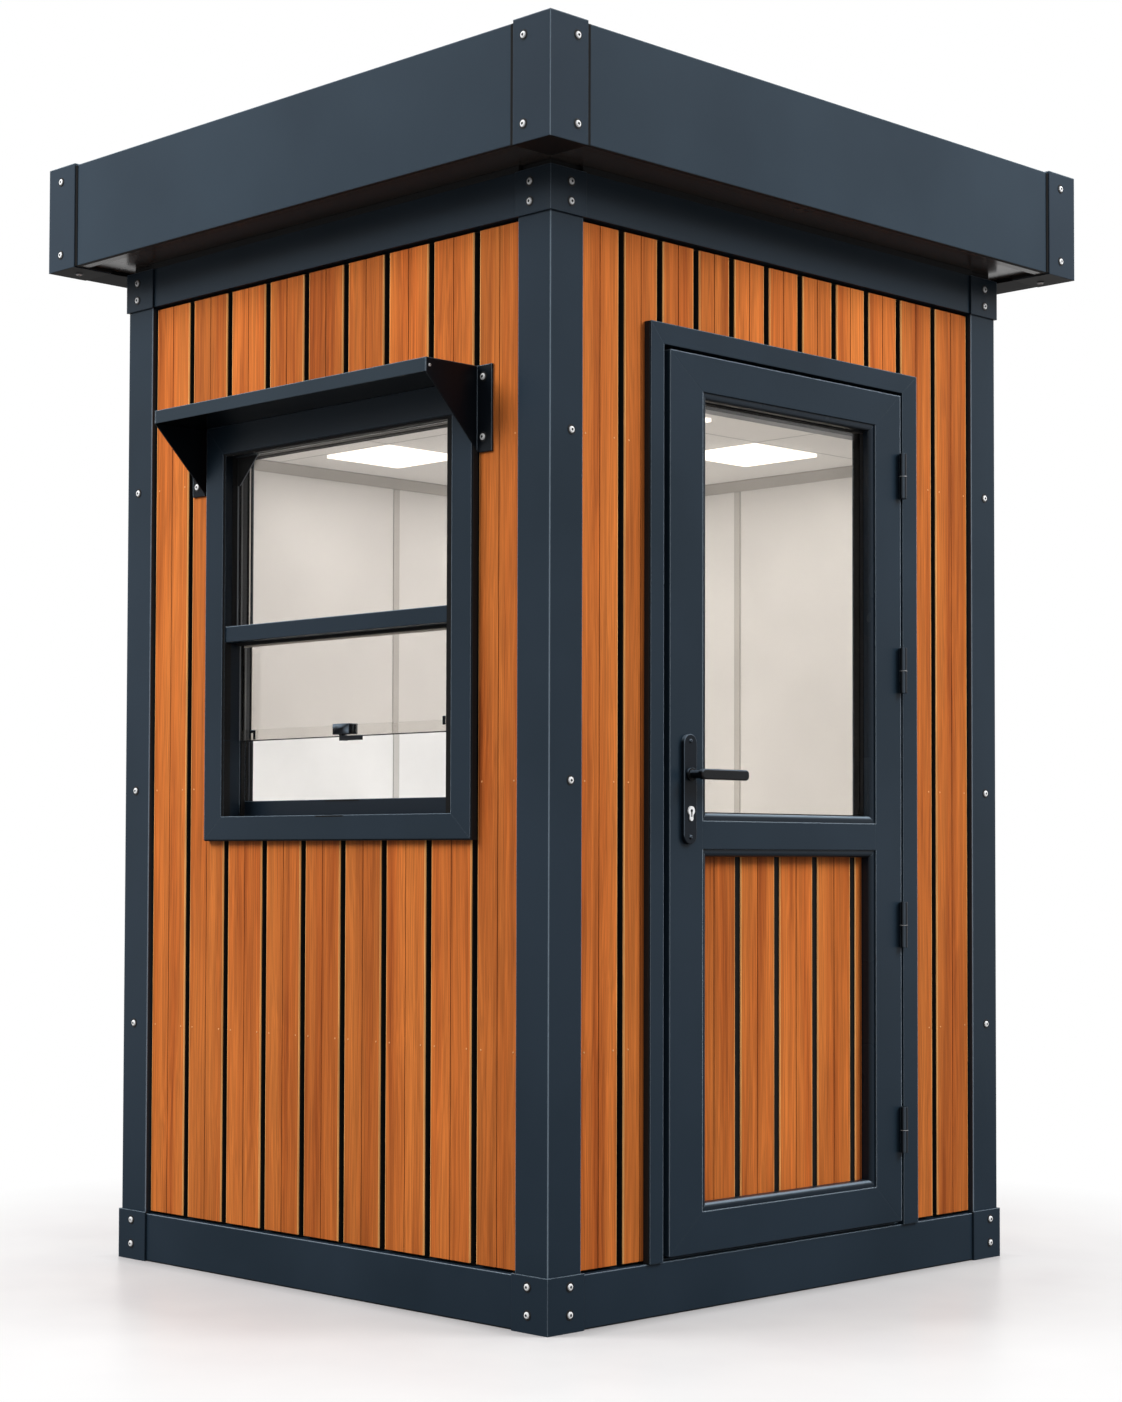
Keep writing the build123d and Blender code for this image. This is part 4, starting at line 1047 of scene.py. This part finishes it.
half_turn = Matrix.Rotation(math.pi, 4, "Z")
turned_round = Matrix.Translation(lock_middle) @ half_turn @ Matrix.Translation(-lock_middle)
plate_screw = button_bolt(3.9 * mm, 1.7 * mm, 5.2 * mm)
recoat(plate_screw, plate_black)
outside = bolt_places("right", plate_face, [(lock_across, row) for row in screw_rows])
inside = [turned_round @ place for place in outside]
screws = copies("lock_plate_screws", plate_screw, outside + inside)
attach(screws, "door")
bpy.data.objects.remove(plate_screw)
keyhole = join_as("keyhole", [
    slot_cover("right", lock_across, 1107.4, 6.6, 6.4, cylinder_face, gap_black),
    slot_cover("right", lock_across, 1100.5, 3.4, 14.5, cylinder_face, gap_black),
])
keyholes = copies("keyholes", keyhole, (Matrix.Identity(4), turned_round))
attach(keyholes, "door")
for pattern in (keyhole, frame_bolt, nail):
    bpy.data.objects.remove(pattern)

# The studio: a pale floor that fades to white, soft lamps and the camera that took the picture.
# None of it is part of the booth.
bpy.ops.mesh.primitive_plane_add(size=60, location=(0, 0, 0))
studio_floor = bpy.context.object
studio_floor.name = "studio_floor"
studio_floor.select_set(False)
floor_pale, tree, shader, place = material("floor_pale")
mottle = ranged(tree, noise(tree, place, 2.6, 6.0)["Fac"], 0.35, 0.65)
set_finish(tree, shader, blend_colours(tree, mottle, shade(200, 197, 198), shade(210, 208, 208)), 0.32, 0.4)
distance = vector_maths(tree, "LENGTH", place, result="Value")
around = vector_maths(tree, "SUBTRACT", vector_maths(tree, "ABSOLUTE", place), (half_width, half_depth, 0))
around = parted(tree, around)
beside = ranged(tree, maths(tree, "MAXIMUM", around["X"], around["Y"]), 0.0, 0.06, 0.0, 0.3)
faded = maths(tree, "ADD", beside, ranged(tree, distance, 1.2, 2.1, 0.0, 0.7), use_clamp=True)
path = add(tree, "ShaderNodeLightPath").outputs
white = add(tree, "ShaderNodeEmission", {"Color": (1, 1, 1, 1), "Strength": 1.0}).outputs["Emission"]
grey = add(tree, "ShaderNodeBsdfDiffuse", {"Color": shade(100, 99, 99)}).outputs["BSDF"]
mirrored = maths(tree, "MULTIPLY", path["Is Glossy Ray"], ranged(tree, distance, 5.0, 11.0, 0.1))
through_glass = maths(tree, "MULTIPLY", path["Is Transmission Ray"], ranged(tree, distance, 1.4, 3.0, 0.3))
backdrop = maths(tree, "ADD", mirrored, through_glass, use_clamp=True)


def mix_shaders(tree, share, first, second):
    """A shader between two others, by a share from 0 to 1."""
    return add(tree, "ShaderNodeMixShader", {0: share, 1: first, 2: second}).outputs[0]


seen = mix_shaders(tree, faded, shader.outputs["BSDF"], white)
unseen = mix_shaders(tree, backdrop, grey, white)
surface = mix_shaders(tree, path["Is Camera Ray"], unseen, seen)
tree.links.new(surface, tree.nodes["Material Output"].inputs["Surface"])
studio_floor.data.materials.append(floor_pale)

world = bpy.data.worlds.new("studio_light")
bpy.context.scene.world = world
world.use_nodes = True
tree = world.node_tree
tree.nodes.clear()
path = add(tree, "ShaderNodeLightPath").outputs
shown = maths(tree, "ADD", path["Is Camera Ray"], path["Is Glossy Ray"])
shown = maths(tree, "ADD", shown, path["Is Transmission Ray"], use_clamp=True)
height = parted(tree, add(tree, "ShaderNodeTexCoord").outputs["Generated"])["Z"]
room_light = ranged(tree, height, 0.0, 0.7, 0.18)
shine = maths(tree, "MAXIMUM", ranged(tree, height, -0.02, 0.25, 0.5), path["Is Camera Ray"])
soft, white = (add(tree, "ShaderNodeBackground", {"Color": (1, 1, 1, 1), "Strength": strength}).outputs[0]
               for strength in (room_light, shine))
output = add(tree, "ShaderNodeOutputWorld")
tree.links.new(mix_shaders(tree, shown, soft, white), output.inputs["Surface"])


def soft_box(name, position, target, size, power):
    """A square lamp that looks at a point."""
    lamp = bpy.data.lights.new(name, "AREA")
    lamp.size = size
    lamp.energy = power
    holder = bpy.data.objects.new(name, lamp)
    holder.location = position
    holder.rotation_euler = (Vector(target) - Vector(position)).to_track_quat("-Z", "Y").to_euler()
    holder.visible_glossy = False
    bpy.context.scene.collection.objects.link(holder)
    return holder


soft_box("left_lamp", (-3.2, -5.2, 5.4), (0, -0.8, 1.3), 3.0, 455)
soft_box("right_lamp", (5.2, 3.2, 5.4), (0.76, 0, 1.3), 3.0, 425)
panel_places = ((-0.332, -0.279), (0.337, 0.334), (0.5, -0.252), (-0.332, 0.334))
for number, (x, y) in enumerate(panel_places):
    panel = soft_box(f"panel_lamp_{number}", (x, y, 2.0), (x, y, 0), 0.24, 1.1)
    panel.visible_camera = False
    panel.visible_transmission = False
room_lamp = bpy.data.lights.new("room_lamp", "POINT")
room_lamp.energy = 6.6
room_lamp.shadow_soft_size = 0.3
room_glow = bpy.data.objects.new("room_lamp", room_lamp)
room_glow.location = (0, 0, 1.0)
room_glow.visible_camera = False
room_glow.visible_glossy = False
room_glow.visible_transmission = False
bpy.context.scene.collection.objects.link(room_glow)

camera_data = bpy.data.cameras.new("camera")
camera = bpy.data.objects.new("camera", camera_data)
bpy.context.scene.collection.objects.link(camera)
turn, rise, tilt = (math.radians(angle) for angle in (45.108, 2.061, 0.154))
level = Vector((-math.sin(turn), math.cos(turn), 0))
aside = level.cross(Vector((0, 0, 1)))
ahead = level * math.cos(rise) + Vector((0, 0, 1)) * math.sin(rise)
upward = aside.cross(ahead)
across = aside * math.cos(tilt) + upward * math.sin(tilt)
upright = upward * math.cos(tilt) - aside * math.sin(tilt)
pose = Matrix((across, upright, -ahead)).transposed().to_4x4()
pose.translation = (4.6581, -4.6449, 1.0035)
camera.matrix_world = pose
camera_data.sensor_fit = "VERTICAL"
camera_data.sensor_height = 36.0
camera_data.lens = 66.69
camera_data.shift_y = 0.0447
bpy.context.scene.camera = camera
bpy.context.scene.view_settings.view_transform = "Standard"
